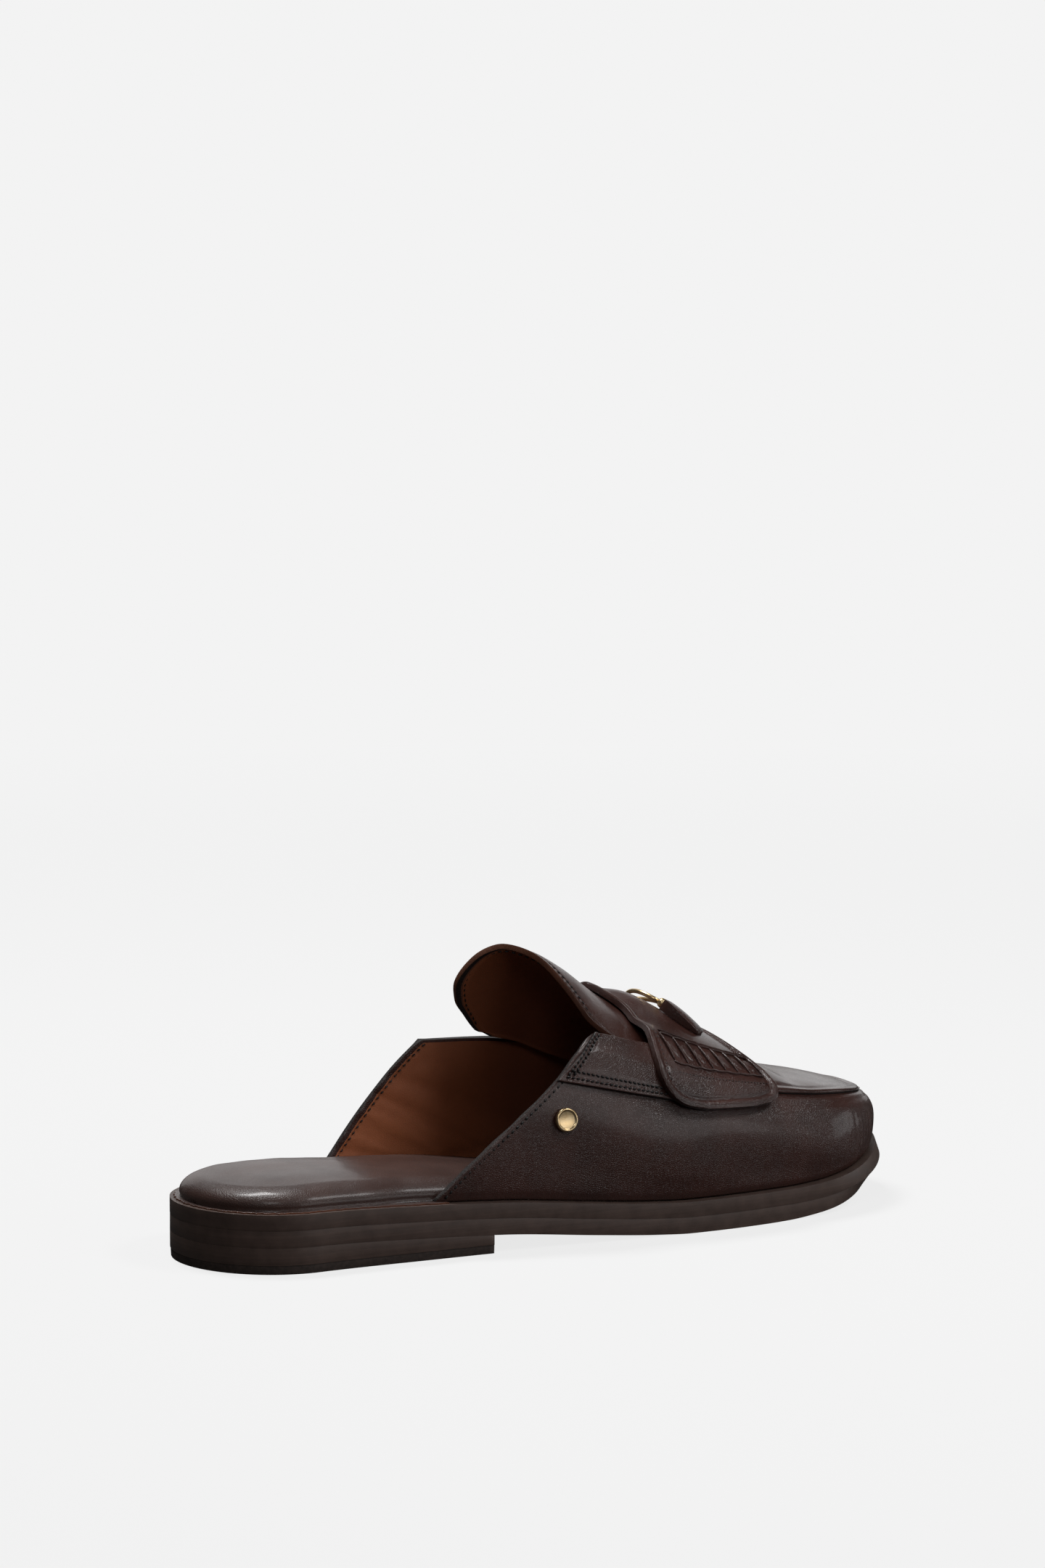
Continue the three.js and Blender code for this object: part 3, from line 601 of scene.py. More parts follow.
outsole = slab("outsole_layer", 0, 1, (nose, lambda share: 0.05 + 0.06 * nose(share)), sanded_side,
               lambda x: welt_base(x) - JOINT, [SOLE_EDGE, TREAD, SOLE_EDGE], (0.6, 0.12))
midsole = slab("midsole_layer", 0, 1, (plain(0), lambda share: 0.3 * nose(share)), welt_base, sole_top,
               [SOLE_EDGE] * 3, (0.12, 2.8))
heel = slab("heel_stack", 0, HEEL_BREAST, (plain(0), plain(0)), lambda x: LIFT_THICKNESS + JOINT + 0 * x,
            lambda x: walking_side(x) - JOINT, [SOLE_EDGE] * 3, (0.1, 0.1), (90, 14))
lift = slab("heel_lift", 0, HEEL_BREAST, (plain(0.3), plain(0.15)), lambda x: 0 * x,
            lambda x: LIFT_THICKNESS + 0 * x, [RUBBER] * 3, (0.4, 0.1), (90, 14))
stack = {"outsole": outsole, "midsole": midsole, "heel_block": heel, "heel_top_lift": lift}
for node, piece in stack.items():
    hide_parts(node)

# %% [markdown]
# The insole is a pad of foam under soft leather. It swells to a dome under the heel, rolls over at its
# edge and thins to a flat sock inside the upper. A point's height comes from its distance to the pad's
# outline, which rolls the edge over all the way round.

# %% Insole pad
# along, thickness, how far it tucks in
PAD = [
    (0.0, 6.2, 0), (0.17, 7.2, 0), (0.25, 6.9, 1), (0.34, 6.4, 1),
    (0.5, 4.3, 1), (0.7, 3.0, 1), (1.0, 3.0, 1),
]
PAD_INSET = 3.0
TUCKED_INSET = 6.2
pad_thickness, pad_tuck = smooth(PAD, 1), smooth(PAD, 2)


def pad_edge(station, side):
    share = place_of(station) / SOLE_LENGTH
    return edge_point(station, side, PAD_INSET + (TUCKED_INSET - PAD_INSET) * pad_tuck(share))


def distance_to(points, outline):
    """The distance of each point from a line through the outline's points, seen from above."""
    spots = points[:, :2]
    nearest = ((spots[:, None] - outline[None, :, :2]) ** 2).sum(-1).argmin(1)
    start = outline[nearest, :2]
    gaps = []
    for step in (-1, 1):
        stretch = outline[np.clip(nearest + step, 0, len(outline) - 1), :2] - start
        length = np.maximum((stretch**2).sum(-1), 1e-9)
        share = np.clip(((spots - start) * stretch).sum(-1) / length, 0, 1)
        gaps.append(np.linalg.norm(spots - start - stretch * share[:, None], axis=1))
    return np.minimum(*gaps)


def pad_outline():
    stations = (1 - np.cos(np.linspace(0, np.pi, 700))) / 2
    lateral, medial = (pad_edge(stations, side + 0 * stations) for side in (-1.0, 1.0))
    return np.concatenate([lateral, medial[::-1]])


def pad_place(u, v, layer):
    station = gathered(u)
    lateral, medial = pad_edge(station, -1 + 0 * u), pad_edge(station, 1 + 0 * u)
    xy = lateral + (medial - lateral) * gathered(v)[:, None]
    base = sole_top(xy[:, 0]) + SEAT
    if layer == 0:
        middle = np.column_stack([np.clip(xy[:, 0], 32, 210), 0 * u])
        tuck = unit(middle - xy) * 0.5
        return np.column_stack([xy + tuck * bump(distance_to(xy, pad_outline()), 1.0)[:, None], base])
    thick = pad_thickness(xy[:, 0] / SOLE_LENGTH)
    gap = distance_to(xy, pad_outline())
    reach = np.clip(gap / (thick * 1.25), 0, 1)
    roll = np.sqrt(np.clip(1 - (1 - reach) ** 2, 0, 1))
    crease = 0.05 * np.sin(xy[:, 0] * 0.55 + 2.0 * np.sin(xy[:, 1] * 0.12)) * bump(reach - 0.6, 0.3)
    return np.column_stack([xy, base + thick * (0.22 + 0.78 * roll) + 0.9 * ease(gap, 3.0, 22.0) + crease])


pad = sheet("insole_pad", (220, 90), pad_place, [INSOLE_LEATHER] * 3, (0.3, 0.0))
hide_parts("insole")

# %% [markdown]
# The quarters and the vamp's wall are one long strip of leather. It starts at the cut edge of one
# quarter, runs round the toe and ends at the other cut edge. Its lower side meets the sole, its upper
# side is the collar line and, in front of the strap, the moccasin seam. Two halves would have to be
# joined at the toe, and one strip needs no joint there.

# %% Quarters and vamp wall
UPPER_WALL = 2.0
# up, along: the cut edge from the sole to the corner
LATERAL_CUT = [(0.0, 0.215), (0.215, 0.265), (0.66, 0.436), (0.82, 0.494), (0.828, 0.502)]
MEDIAL_CUT = [(0.0, 0.18), (0.215, 0.24), (0.715, 0.385), (0.737, 0.397)]
SEAM_START = (0.705, float(seam_up(0.705)))
# along, up: the collar line and then the seam
LATERAL_TOP = [(0.502, 0.828), (0.54, 0.79), (0.6, 0.735), (0.66, 0.655), SEAM_START]
MEDIAL_TOP = [(0.397, 0.737), (0.49, 0.72), (0.54, 0.7), (0.6, 0.68), (0.66, 0.63), SEAM_START]


def wall_net(p, v, side):
    """Station and way for the strip's share p from a cut edge to the toe, and v up it."""
    cuts = {-1: smooth(LATERAL_CUT, 1), 1: smooth(MEDIAL_CUT, 1)}
    tops = {-1: smooth(LATERAL_TOP, 1), 1: smooth(MEDIAL_TOP, 1)}
    ends = {-1: LATERAL_TOP, 1: MEDIAL_TOP}
    station, way = np.zeros_like(p), np.zeros_like(p)
    for sign in (-1, 1):
        on = side == sign
        corner_up = ends[sign][0][1]
        foot = (sole_top(0.22 * SOLE_LENGTH) + SEAT) / INSTEP
        back = station_of(cuts[sign](foot + (corner_up - foot) * v[on]))
        top = station_of(cuts[sign](corner_up))
        low = station_of(cuts[sign](foot))
        here = back + (1 - back) * p[on]
        x = place_of(here)
        share_top = place_of(top + (1 - top) * p[on]) / SOLE_LENGTH
        joined = ends[sign][-1][0]
        z_top = np.where(share_top < joined, tops[sign](share_top), seam_up(share_top)) * INSTEP
        z_low = sole_top(place_of(low + (1 - low) * p[on])) + SEAT
        z = z_low + (z_top - z_low) * v[on]
        low_way = way_at(x, sign + 0 * x, np.maximum(z, sole_top(x) + SEAT))
        station[on] = here
        way[on] = low_way
    return station, way


def round_toe(station, side):
    """Millimetres along the sole's edge from the toe's tip, negative on the outer side."""
    stations = np.linspace(0.3, 1, 600)
    lengths = []
    for sign in (-1.0, 1.0):
        edge = raw_edge(stations, sign + 0 * stations)
        steps = np.linalg.norm(np.diff(edge, axis=0), axis=1)
        run = np.concatenate([[0], np.cumsum(steps)])
        lengths.append(sign * np.interp(station, stations, run[-1] - run))
    return np.where(side < 0, lengths[0], lengths[1])


# from x, v, to x, v, then how high the fold stands and how wide it is, in millimetres
LINING_CREASES = [
    ((86, 0.62, 128, 0.16), 0.55, 2.2), ((80, 0.5, 112, 0.12), -0.45, 2.0),
    ((92, 0.74, 150, 0.3), 0.5, 3.4), ((70, 0.2, 100, 0.05), 0.35, 1.1),
    ((74, 0.3, 96, 0.1), -0.3, 1.0), ((66, 0.12, 84, 0.03), 0.3, 0.8),
    ((118, 0.1, 170, 0.2), 0.45, 2.6), ((104, 0.86, 108, 0.68), -0.3, 1.6),
]


def crease_gap(x, v, line):
    """How far a point of the wall is from a crease, in millimetres."""
    height = 46.0
    start, end = np.array([line[0], line[1] * height]), np.array([line[2], line[3] * height])
    point = np.stack([x, v * height], -1)
    run = end - start
    share = np.clip(((point - start) @ run) / (run @ run), 0, 1)
    wander = 0.8 * np.sin(share * 7.0 + line[0])
    return np.linalg.norm(point - start - share[:, None] * run, axis=-1) - wander


def wall_place(u, v, layer):
    side = np.where(u <= 0.5, -1, 1)
    p = np.where(side < 0, 2 * u, 2 - 2 * u)
    station, way = wall_net(p, v, side)
    x = place_of(station)
    share = x / SOLE_LENGTH
    along = round_toe(station, side)
    toe = ease(share, 0.82, 0.95)
    vamp = ease(share, 0.66, 0.74)
    tuck = vamp * (ease(v, 0.93, 1.0) * 0.75 + 0.3 * bump(v - 0.9, 0.05))
    hollow = 0.55 * bump(v, 0.035)
    pleats = np.sin(along * 0.75 + 1.6 * np.sin(along * 0.21)) + 0.6 * np.sin(along * 1.9 + 0.7)
    pleats = 0.13 * toe * pleats * ease(v, 0.02, 0.25) * (1 - ease(v, 0.6, 0.85))
    soft = 0.3 * np.sin(x * 0.085 + v * 3.0) * np.sin(v * 5.0) * (1 - toe)
    outer = pleats + soft * ease(v, 0.0, 0.25) * (1 - ease(v, 0.75, 0.95)) - tuck - hollow
    wrinkles = sum(deep * bump(crease_gap(x, v, line), wide) for line, deep, wide in LINING_CREASES)
    distance = outer if layer else outer - UPPER_WALL + wrinkles
    points = off_last(station, way, distance)
    low = v < 1e-6
    points[low, 2] = sole_top(points[low, 0]) + SEAT
    return points


def wall_inner(u, v):
    edge = min(u, 1 - u)
    return 0 if edge < 0.005 or (v > 0.975 and edge < 0.12) else 1


wall = sheet("quarters_and_vamp", (420, 46), wall_place, [UPPER_LEATHER, LINING, DARK_EDGE], (0.4, 0.5),
             wall_inner)

# %% [markdown]
# The apron is the smooth panel on top of the toes. A moccasin maker gathers the wall to the apron's edge,
# which lifts that edge into a thin ridge with a groove under it. A bevel makes no groove, so the height
# over the last rises and falls with the distance to the seam.

# %% Apron and moccasin ridge
THROAT = 0.645


def seam_outline():
    stations = np.linspace(station_of(THROAT), 1, 400)
    share = place_of(stations) / SOLE_LENGTH
    lateral, medial = (edge_point(stations, side + 0 * stations, seam_inset(share, side))
                       for side in (-1.0, 1.0))
    return np.concatenate([lateral, medial[::-1]])


def apron_place(u, v, layer):
    start = station_of(THROAT)
    station = start + (0.9993 - start) * u
    across = np.sin(np.pi * (v - 0.5)) * 1.02
    way = 0.5 + across * (0.5 - WALL_SHARE)
    base = last_point(station, way)
    gap = distance_to(base, seam_outline())
    share = place_of(station) / SOLE_LENGTH
    lip = 0.35 + ease(share, 0.66, 0.78) * (0.55 * bump(gap - 0.4, 1.5) - 0.35 * bump(gap - 3.8, 1.4))
    turned = 1 - np.clip(gap / 2.6, 0, 1)
    lip = lip - 1.5 * ease(share, 0.66, 0.78) * (1 - np.sqrt(np.clip(1 - turned**2, 0, 1)))
    soft = 0.15 * np.sin(base[:, 1] * 0.16 + 1.0) * np.sin(base[:, 0] * 0.11)
    distance = lip + soft * ease(gap, 4.0, 9.0)
    return off_last(station, way, distance if layer else distance - 0.35 - UPPER_WALL)


apron = sheet("apron", (130, 110), apron_place, [PLUG_LEATHER, LINING, DARK_EDGE], (0.3, 0.3))
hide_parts("upper")
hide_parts("upper")

# %% [markdown]
# The tongue is a lined flap that stands up behind the strap like a shell. It is a sheet on the same last,
# laid just under the upper. Its lining stops short of the rim, so an inked band and a thin line of raw
# edge show there. They are two more materials of the inner face.

# %% Tongue
# across, rim
TONGUE_RIM = [
    (-0.94, 0.59), (-0.82, 0.556), (-0.76, 0.527), (-0.68, 0.514), (-0.5, 0.509),
    (-0.25, 0.5), (0.0, 0.484), (0.25, 0.453), (0.48, 0.43), (0.7, 0.42),
    (0.84, 0.43), (0.94, 0.452), (1.0, 0.47), (1.06, 0.49),
]
TONGUE_WALL = 1.8
tongue_rim = smooth(TONGUE_RIM, 1)


def tongue_net(u, v):
    lateral, medial = TONGUE_RIM[0][0], TONGUE_RIM[-1][0]
    across = lateral + (medial - lateral) * v
    rim = tongue_rim(across)
    share = rim + (THROAT + 0.02 - rim) * u
    return station_of(share), 0.5 + (0.5 - WALL_SHARE) * across, across


def tongue_place(u, v, layer):
    station, way, across = tongue_net(u, v)
    rolled = 0.5 * bump(u, 0.05) * (1 - np.abs(across))
    wave = 0.35 * np.sin(across * 7.0 + 1.0) * bump(u, 0.35)
    outer = -UPPER_WALL - SEAT + wave + rolled - 0.2 * bump(u - 0.065, 0.018)
    return off_last(station, way, outer if layer else outer - TONGUE_WALL)


tongue = sheet("tongue_flap", (100, 120), tongue_place, [UPPER_LEATHER, LINING, RAW_EDGE, DARK_EDGE],
               (0.3, 0.6), lambda u, v: 3 if u < 0.03 else (2 if u < 0.041 else 1))
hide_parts("tongue")

# %% [markdown]
# A strip of leather strengthens the collar line on each side. It is sewn down with two close rows of dark
# thread in a shallow groove. It could be a swelling of the wall, but as a sheet of its own it has a real
# edge.

# %% Collar panels
PANEL_UNDER = 0.45
PANEL_THICKNESS = 1.2
LATERAL_PANEL = (0.436, 0.66, 0.612, 0.525)
MEDIAL_PANEL = (0.357, 0.61, 0.612, 0.5)


def panel_net(u, v, side):
    back, back_up, front, front_up = LATERAL_PANEL if side < 0 else MEDIAL_PANEL
    top = LATERAL_TOP if side < 0 else MEDIAL_TOP
    top_up = smooth(top, 1)
    corner = top[0][0]
    low_share = back + (front - back) * u
    high_share = corner + (front - corner) * u
    low_up = back_up + (front_up - back_up) * u
    share = low_share + (high_share - low_share) * v
    up = low_up + (top_up(high_share) - 0.002 - low_up) * v
    x = share * SOLE_LENGTH
    return station_of(share), way_at(x, side + 0 * x, up * INSTEP)


def collar_panel(name, side, node):
    def place(u, v, layer):
        station, way = panel_net(u, v if side < 0 else 1 - v, side)
        lift = v if side < 0 else 1 - v
        dip = 0.3 * bump(lift - 0.15, 0.09) + 0.3 * bump(u - 0.05, 0.03)
        full = 0.2 * bump(lift - 0.55, 0.3) * np.sin(np.pi * np.clip(u * 1.1, 0, 1))
        rise = PANEL_THICKNESS - dip + full if layer else 0 * u - 0.3
        return off_last(station, way, PANEL_UNDER + rise)

    piece = sheet(name, (70, 36), place, [UPPER_LEATHER, UPPER_LEATHER, DARK_EDGE], (0.2, 0.5))
    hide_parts(node)


collar_panel("collar_strip_lateral", -1, "collar_panel_lateral")
collar_panel("collar_strip_medial", 1, "collar_panel_medial")

# %% [markdown]
# The saddle strap lies over the other leather. Its edges are folded back on themselves, so they stand up
# as a thick soft border with a groove behind them. The fold could be a second layer. Here the outer face
# swells near the border and dips behind it, so the strap stays one sheet. Between its flaps the rear edge
# settles down on the tongue.

# %% Saddle strap
# over, rear, front
STRAP_EDGES = [
    (0.0, 0.635, 0.71), (0.012, 0.608, 0.736), (0.04, 0.591, 0.75), (0.08, 0.581, 0.755),
    (0.14, 0.576, 0.756), (0.22, 0.582, 0.751), (0.33, 0.592, 0.742), (0.42, 0.596, 0.735),
    (0.5, 0.587, 0.732), (0.58, 0.575, 0.732), (0.7, 0.578, 0.737), (0.8, 0.574, 0.744),
    (0.88, 0.568, 0.748), (0.93, 0.577, 0.746), (0.965, 0.594, 0.738), (0.99, 0.618, 0.718),
    (1.0, 0.65, 0.69),
]
FLAP_BACK = 0.214
FLAP_FRONT = 0.252
STRAP_UNDER = PANEL_UNDER + PANEL_THICKNESS + SEAT + 0.15
STRAP_THICKNESS = 1.9
STRAP_SETTLES = 3.6
strap_rear, strap_front = smooth(STRAP_EDGES, 1), smooth(STRAP_EDGES, 2)


def strap_net(u, over):
    share = strap_rear(over) + (strap_front(over) - strap_rear(over)) * u
    back, ahead = float(strap_rear(0.14)), float(strap_front(0.14))
    low = FLAP_BACK + (FLAP_FRONT - FLAP_BACK) * (share - back) / (ahead - back)
    return station_of(share), low + (1 - 2 * low) * over


def strap_border():
    loop = np.linspace(0, 1, 400)
    rear, front = strap_net(0 * loop, loop), strap_net(0 * loop + 1, loop)
    foot, head = strap_net(loop, 0 * loop), strap_net(loop, 0 * loop + 1)
    return np.concatenate([last_point(*side) for side in (rear, front, foot, head)])


def over_tongue(over):
    """1 where the strap crosses the tongue, 0 on the flaps."""
    return ease(over, 0.25, 0.36) * (1 - ease(over, 0.72, 0.81))


def strap_place(u, v, layer):
    over = gathered(v) * 0.6 + v * 0.4
    station, way = strap_net(u, over)
    base = last_point(station, way)
    border = strap_border()
    gaps = base[:, None, :] - border[None, :, :]
    gap = np.sqrt((gaps**2).sum(-1)).min(1)
    low = np.minimum(over, 1 - over)
    thick = ease(low, 0.01, 0.09)
    fold = (0.35 + 0.4 * thick) * bump(gap - 1.2, 1.0) - 0.4 * bump(gap - 2.9, 0.6)
    crown = 0.3 * ease(gap, 3.0, 9.0)
    rest = STRAP_SETTLES * over_tongue(over) * (1 - ease(u, 0.02, 0.36))
    top = STRAP_UNDER + STRAP_THICKNESS - 0.35 + fold + crown
    return off_last(station, way, (top if layer else STRAP_UNDER - 0.15) - rest)


strap = sheet("saddle_strap_leather", (64, 170), strap_place, [UPPER_LEATHER] * 3, (0.3, 0.7))
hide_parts("saddle_strap")
STRAP_OVER = STRAP_UNDER + STRAP_THICKNESS

# %% [markdown]
# The strap's ends are laced down by hand. Each turn of the lace crosses a shallow frame, and the leather
# between the turns puffs up a little. Turns, frame and puffs are tubes of different girth, because a tube
# follows any line on the last.

# %% Lacing
LACING_REAR = 0.606
LACING_FRONT = 0.744


def tube_along(mesh, points, normals, radius, height, sides=8):
    """Adds a flattened tube along points of the last."""
    section = bmesh.ops.create_circle(mesh, segments=sides, radius=1.0)["verts"]
    count = len(points)
    rings = [section]
    edges = [edge for edge in mesh.edges if all(vert in section for vert in edge.verts)]
    for _ in range(count - 1):
        grown = bmesh.ops.extrude_edge_only(mesh, edges=edges)["geom"]
        rings.append([part for part in grown if isinstance(part, bmesh.types.BMVert)])
        edges = [part for part in grown if isinstance(part, bmesh.types.BMEdge)
                 and all(vert in rings[-1] for vert in part.verts)]
    runs = unit(np.gradient(points, axis=0))
    for k, ring in enumerate(rings):
        out = Vector(normals[k])
        side = Vector(runs[k]).cross(out).normalized()
        taper = 0.35 if k in (0, count - 1) else (0.8 if k in (1, count - 2) else 1.0)
        for vert in ring:
            offset = side * (vert.co.x * radius * taper) + out * (vert.co.y * height * taper)
            vert.co = Vector(to_model(points[k] + np.array(offset)))
    for ring in (rings[0], rings[-1]):
        bmesh.ops.contextual_create(mesh, geom=ring)


def lacing(name, low, high, side, node):
    mesh = bmesh.new()
    turns = 7
    span = LACING_FRONT - LACING_REAR

    def at(share, down, lift):
        station = station_of(share)
        way = down if side < 0 else 1 - down
        return off_last(station, way, STRAP_OVER + lift + 0 * share), last_normal(station, way)

    t = np.linspace(0, 1, 9)
    for k in range(turns + 1):
        share = LACING_REAR + span * k / turns - 0.002
        points, normals = at(share - 0.004 * t, low + (high - low) * t, 0.1 + 0.35 * np.sin(np.pi * t))
        tube_along(mesh, points, normals, 0.42, 0.5)
    t = np.linspace(0, 1, 99)
    wave = np.abs(np.sin(np.pi * turns * t))
    for down, bow, radius in ((low, -0.0022, 0.5), (high, 0.001, 0.42), (high + 0.006, 0.0, 0.3)):
        share = LACING_REAR - 0.004 + (span + 0.004) * t
        points, normals = at(share, down + bow * wave, 0.1 * wave - 0.05)
        tube_along(mesh, points, normals, radius, 0.55)
    t = np.linspace(0, 1, 7)
    for k in range(turns):
        share = LACING_REAR + span * (k + 0.5) / turns
        points, normals = at(share - 0.004 * t, low + (high - low) * (0.12 + 0.76 * t), -0.7)
        tube_along(mesh, points, normals, 2.1, 1.05, 12)
    bmesh.ops.recalc_face_normals(mesh, faces=mesh.faces)
    piece = finish_piece(name, mesh, [UPPER_LEATHER])
    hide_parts(node)


lacing("hand_lacing_lateral", 0.313, 0.366, -1, "lacing_lateral")
lacing("hand_lacing_medial", 0.279, 0.325, 1, "lacing_medial")

# %% [markdown]
# Stitches are what the eye reads as handwork. Each one is a small swollen loop of thread that sits in its
# own dimple, so a row is many small ovals laid along a line on the leather, each turned a little across
# it.

# %% Stitch rows


def stitch_row(mesh, points, normals, pitch=1.9, length=1.5, width=0.8, slant=0.16):
    steps = np.linalg.norm(np.diff(points, axis=0), axis=1)
    run = np.concatenate([[0], np.cumsum(steps)])
    for spot in np.arange(pitch / 2, run[-1], pitch):
        middle = np.array([np.interp(spot, run, points[:, axis]) for axis in range(3)])
        before = np.array([np.interp(spot - 0.3, run, points[:, axis]) for axis in range(3)])
        out = Vector([np.interp(spot, run, normals[:, axis]) for axis in range(3)]).normalized()
        ahead = Vector(middle - before)
        ahead = (ahead - out * ahead.dot(out)).normalized()
        aside = out.cross(ahead)
        ahead = (ahead + aside * slant).normalized()
        aside = out.cross(ahead)
        turn = Matrix((ahead, aside, out)).transposed().to_4x4()
        size = Matrix.Diagonal((length / 2000, width / 2000, width / 1800, 1))
        spot_at = Matrix.Translation(Vector(to_model(middle)))
        bmesh.ops.create_uvsphere(mesh, u_segments=7, v_segments=5, radius=1.0,
                                  matrix=spot_at @ turn @ size)


def on_skin(station, way, lift):
    return off_last(station, way, lift), last_normal(station, way)


def cut_row(side, first, last, aside, lift):
    """A row beside a quarter's cut edge, between two heights up the instep."""
    cut = smooth(LATERAL_CUT if side < 0 else MEDIAL_CUT, 1)
    up = np.linspace(first, last, 60)
    x = cut(up) * SOLE_LENGTH + aside
    return on_skin(station_of(x / SOLE_LENGTH), way_at(x, side + 0 * x, up * INSTEP), lift + 0 * x)


def panel_row(side, from_edge, until=0.9, start=0.03):
    u = np.linspace(start, until, 80)
    rise = 13.4 + 3.4 * u
    station, way = panel_net(u, from_edge / rise, side)
    return on_skin(station, way, PANEL_UNDER + PANEL_THICKNESS - 0.12 + 0 * u)


def join_rows(rows):
    """Each row is sewn in a small mesh of its own, since operators slow down in a large one."""
    joined = bmesh.new()
    for points, normals, look in rows:
        row = bmesh.new()
        stitch_row(row, points, normals, **look)
        data = bpy.data.meshes.new("row")
        row.to_mesh(data)
        row.free()
        joined.from_mesh(data)
        bpy.data.meshes.remove(data)
    return joined


rows = []
for side, panel_foot, corner in ((-1, 0.675, 0.815), (1, 0.63, 0.725)):
    top = PANEL_UNDER + PANEL_THICKNESS
    rows.append((*cut_row(side, 0.23, panel_foot - 0.015, 3.0, -0.05), {"pitch": 2.2, "length": 1.5}))
    for aside in (2.4, 4.3):
        rows.append((*cut_row(side, panel_foot, corner, aside, top - 0.1), {"pitch": 1.75, "slant": 0.35}))
    for from_edge, slant in ((1.4, 0.35), (3.1, -0.35)):
        rows.append((*panel_row(side, from_edge), {"pitch": 1.75, "slant": slant}))
    rows.append((*cut_row(side, 0.23, corner, 3.4, -UPPER_WALL - 0.35), {"pitch": 2.4, "width": 0.6}))
v = np.linspace(0.05, 0.95, 200)
station, way, across = tongue_net(np.full_like(v, 0.05), v)
for lift in (0.05, -TONGUE_WALL - 0.05):
    rows.append((*on_skin(station, way, lift - UPPER_WALL - SEAT + 0 * v), {"pitch": 2.3, "width": 0.5}))
thread_piece = finish_piece("stitching", join_rows(rows), [THREAD])

# %% [markdown]
# The strap has finer rows: one in the groove behind its rear border, which sinks where the strap settles,
# and a dotted line at each lacing.

# %% Strap stitches
over = np.linspace(0.1, 0.9, 260)
station, way = strap_net(0.075 + 0 * over, over)
sunk = (STRAP_SETTLES - 0.2) * over_tongue(over)
rows = [(*on_skin(station, way, STRAP_OVER - 0.55 - sunk), {"pitch": 1.9, "length": 1.2, "width": 0.42})]
for down in (0.297, 0.703):
    share = np.linspace(0.603, 0.742, 90)
    points, normals = on_skin(station_of(share), down + 0 * share, STRAP_OVER - 0.1 + 0 * share)
    rows.append((points, normals, {"pitch": 1.3, "length": 0.7, "width": 0.4, "slant": 0}))
strap_thread = finish_piece("strap_stitching", join_rows(rows), [THREAD])

# %% [markdown]
# Round the heel the pad's cover is glued down on a thin rand. It shows as a narrow, slightly ragged ledge
# between the pad and the sole's edge. Sine waves of different length make a smooth strip ragged.

# %% Heel rand


def rand_place(u, v, layer):
    reach = station_of(0.285)
    turn = 2 * u - 1
    station = reach * np.abs(turn)
    side = np.where(turn <= 0, -1.0, 1.0)
    ragged = 0.22 * np.sin(u * 190.0 + 2.0 * np.sin(u * 41.0)) + 0.16 * np.sin(u * 433.0)
    inset = 1.5 + 3.4 * v + ragged * (1 - v)
    xy = edge_point(station, side, inset)
    return np.column_stack([xy, sole_top(xy[:, 0]) + (0.5 + 0.1 * ragged if layer else -0.05)])


rand = sheet("heel_rand", (420, 6), rand_place, [INSOLE_LEATHER, INSOLE_LEATHER, RAW_EDGE], (0.1, 0.15))

# %% [markdown]
# The snaffle is cast and polished, and its CAD solids already have the right shape. A merged copy of each
# is smoothed by subdivision, which turns its facets into the soft form of a casting.

# %% Snaffle
SNAFFLE_ALONG = 0.655
SNAFFLE_REACH = 12.5
RIDGE_WAY = 0.5 + RIDGE_PLACE * (0.5 - WALL_SHARE)


def cast(name, node):
    mesh = bmesh.new()
    mesh.from_mesh(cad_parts[node].data)
    bmesh.ops.remove_doubles(mesh, verts=mesh.verts, dist=1e-5)
    bmesh.ops.dissolve_degenerate(mesh, dist=1e-6, edges=mesh.edges)
    piece = finish_piece(name, mesh, [GOLD])
    softened = piece.modifiers.new("casting", "SUBSURF")
    softened.levels = softened.render_levels = 2
    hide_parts(node)


cast("gold_link", "snaffle_link")
cast("gold_end_lateral", "snaffle_end_lateral")
cast("gold_end_medial", "snaffle_end_medial")

# %% [markdown]
# A padded tab holds each end of the bar. It is a leaf of stuffed leather, thickest beside the link's end,
# and it thins to a soft tip on the strap. A squashed sphere would be quicker to make, but a sheet whose
# outer face swells has a flat back and a leaf's outline.

# %% Keeper tabs


def on_strap(run, ahead, lift):
    station = station_of(SNAFFLE_ALONG)
    span = off_last(station, np.array([RIDGE_WAY - 0.05, RIDGE_WAY + 0.05]), np.full(2, STRAP_OVER))
    way = RIDGE_WAY + 0.1 * run / np.linalg.norm(span[1] - span[0])
    return off_last(station_of(SNAFFLE_ALONG + ahead / SOLE_LENGTH), way, STRAP_OVER + lift)


def keeper(name, side, length, node):
    start = SNAFFLE_REACH + 1.6 + SEAT

    def place(u, v, layer):
        rear = -2.6 + 7.0 * v**1.7
        front = 9.0 + 3.5 * np.sin(np.pi * v)
        close = 1 - np.sqrt(1 - np.clip((v - 0.5) / 0.5, 0, 0.995) ** 2)
        ahead = (rear + (front - rear) * u) * (1 - close) + (rear + front) / 2 * close
        stuffed = 0.6 + 3.6 * np.sqrt(1 - ((u - 0.3) / 0.78) ** 2)
        thick = stuffed * (1 - 0.5 * u**2) * (1 - 0.72 * v**2)
        return on_strap(side * (start + length * v), ahead, 0.15 + thick if layer else 0.15 + 0 * u)

    piece = sheet(name, (26, 30), place, [UPPER_LEATHER] * 3, (0.2, 0.75), None, 4)
    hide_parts(node)


keeper("keeper_leather_lateral", -1, 11.0, "keeper_tab_lateral")
keeper("keeper_leather_medial", 1, 9.0, "keeper_tab_medial")

# %% [markdown]
# The side stud is turned on a lathe: a profile of its rim and dished face is spun a full turn about its
# axis. A cylinder with a bevel would have a flat face in place of the dish.

# %% Side stud
STUD_ALONG = 0.444
STUD_UP = 0.505
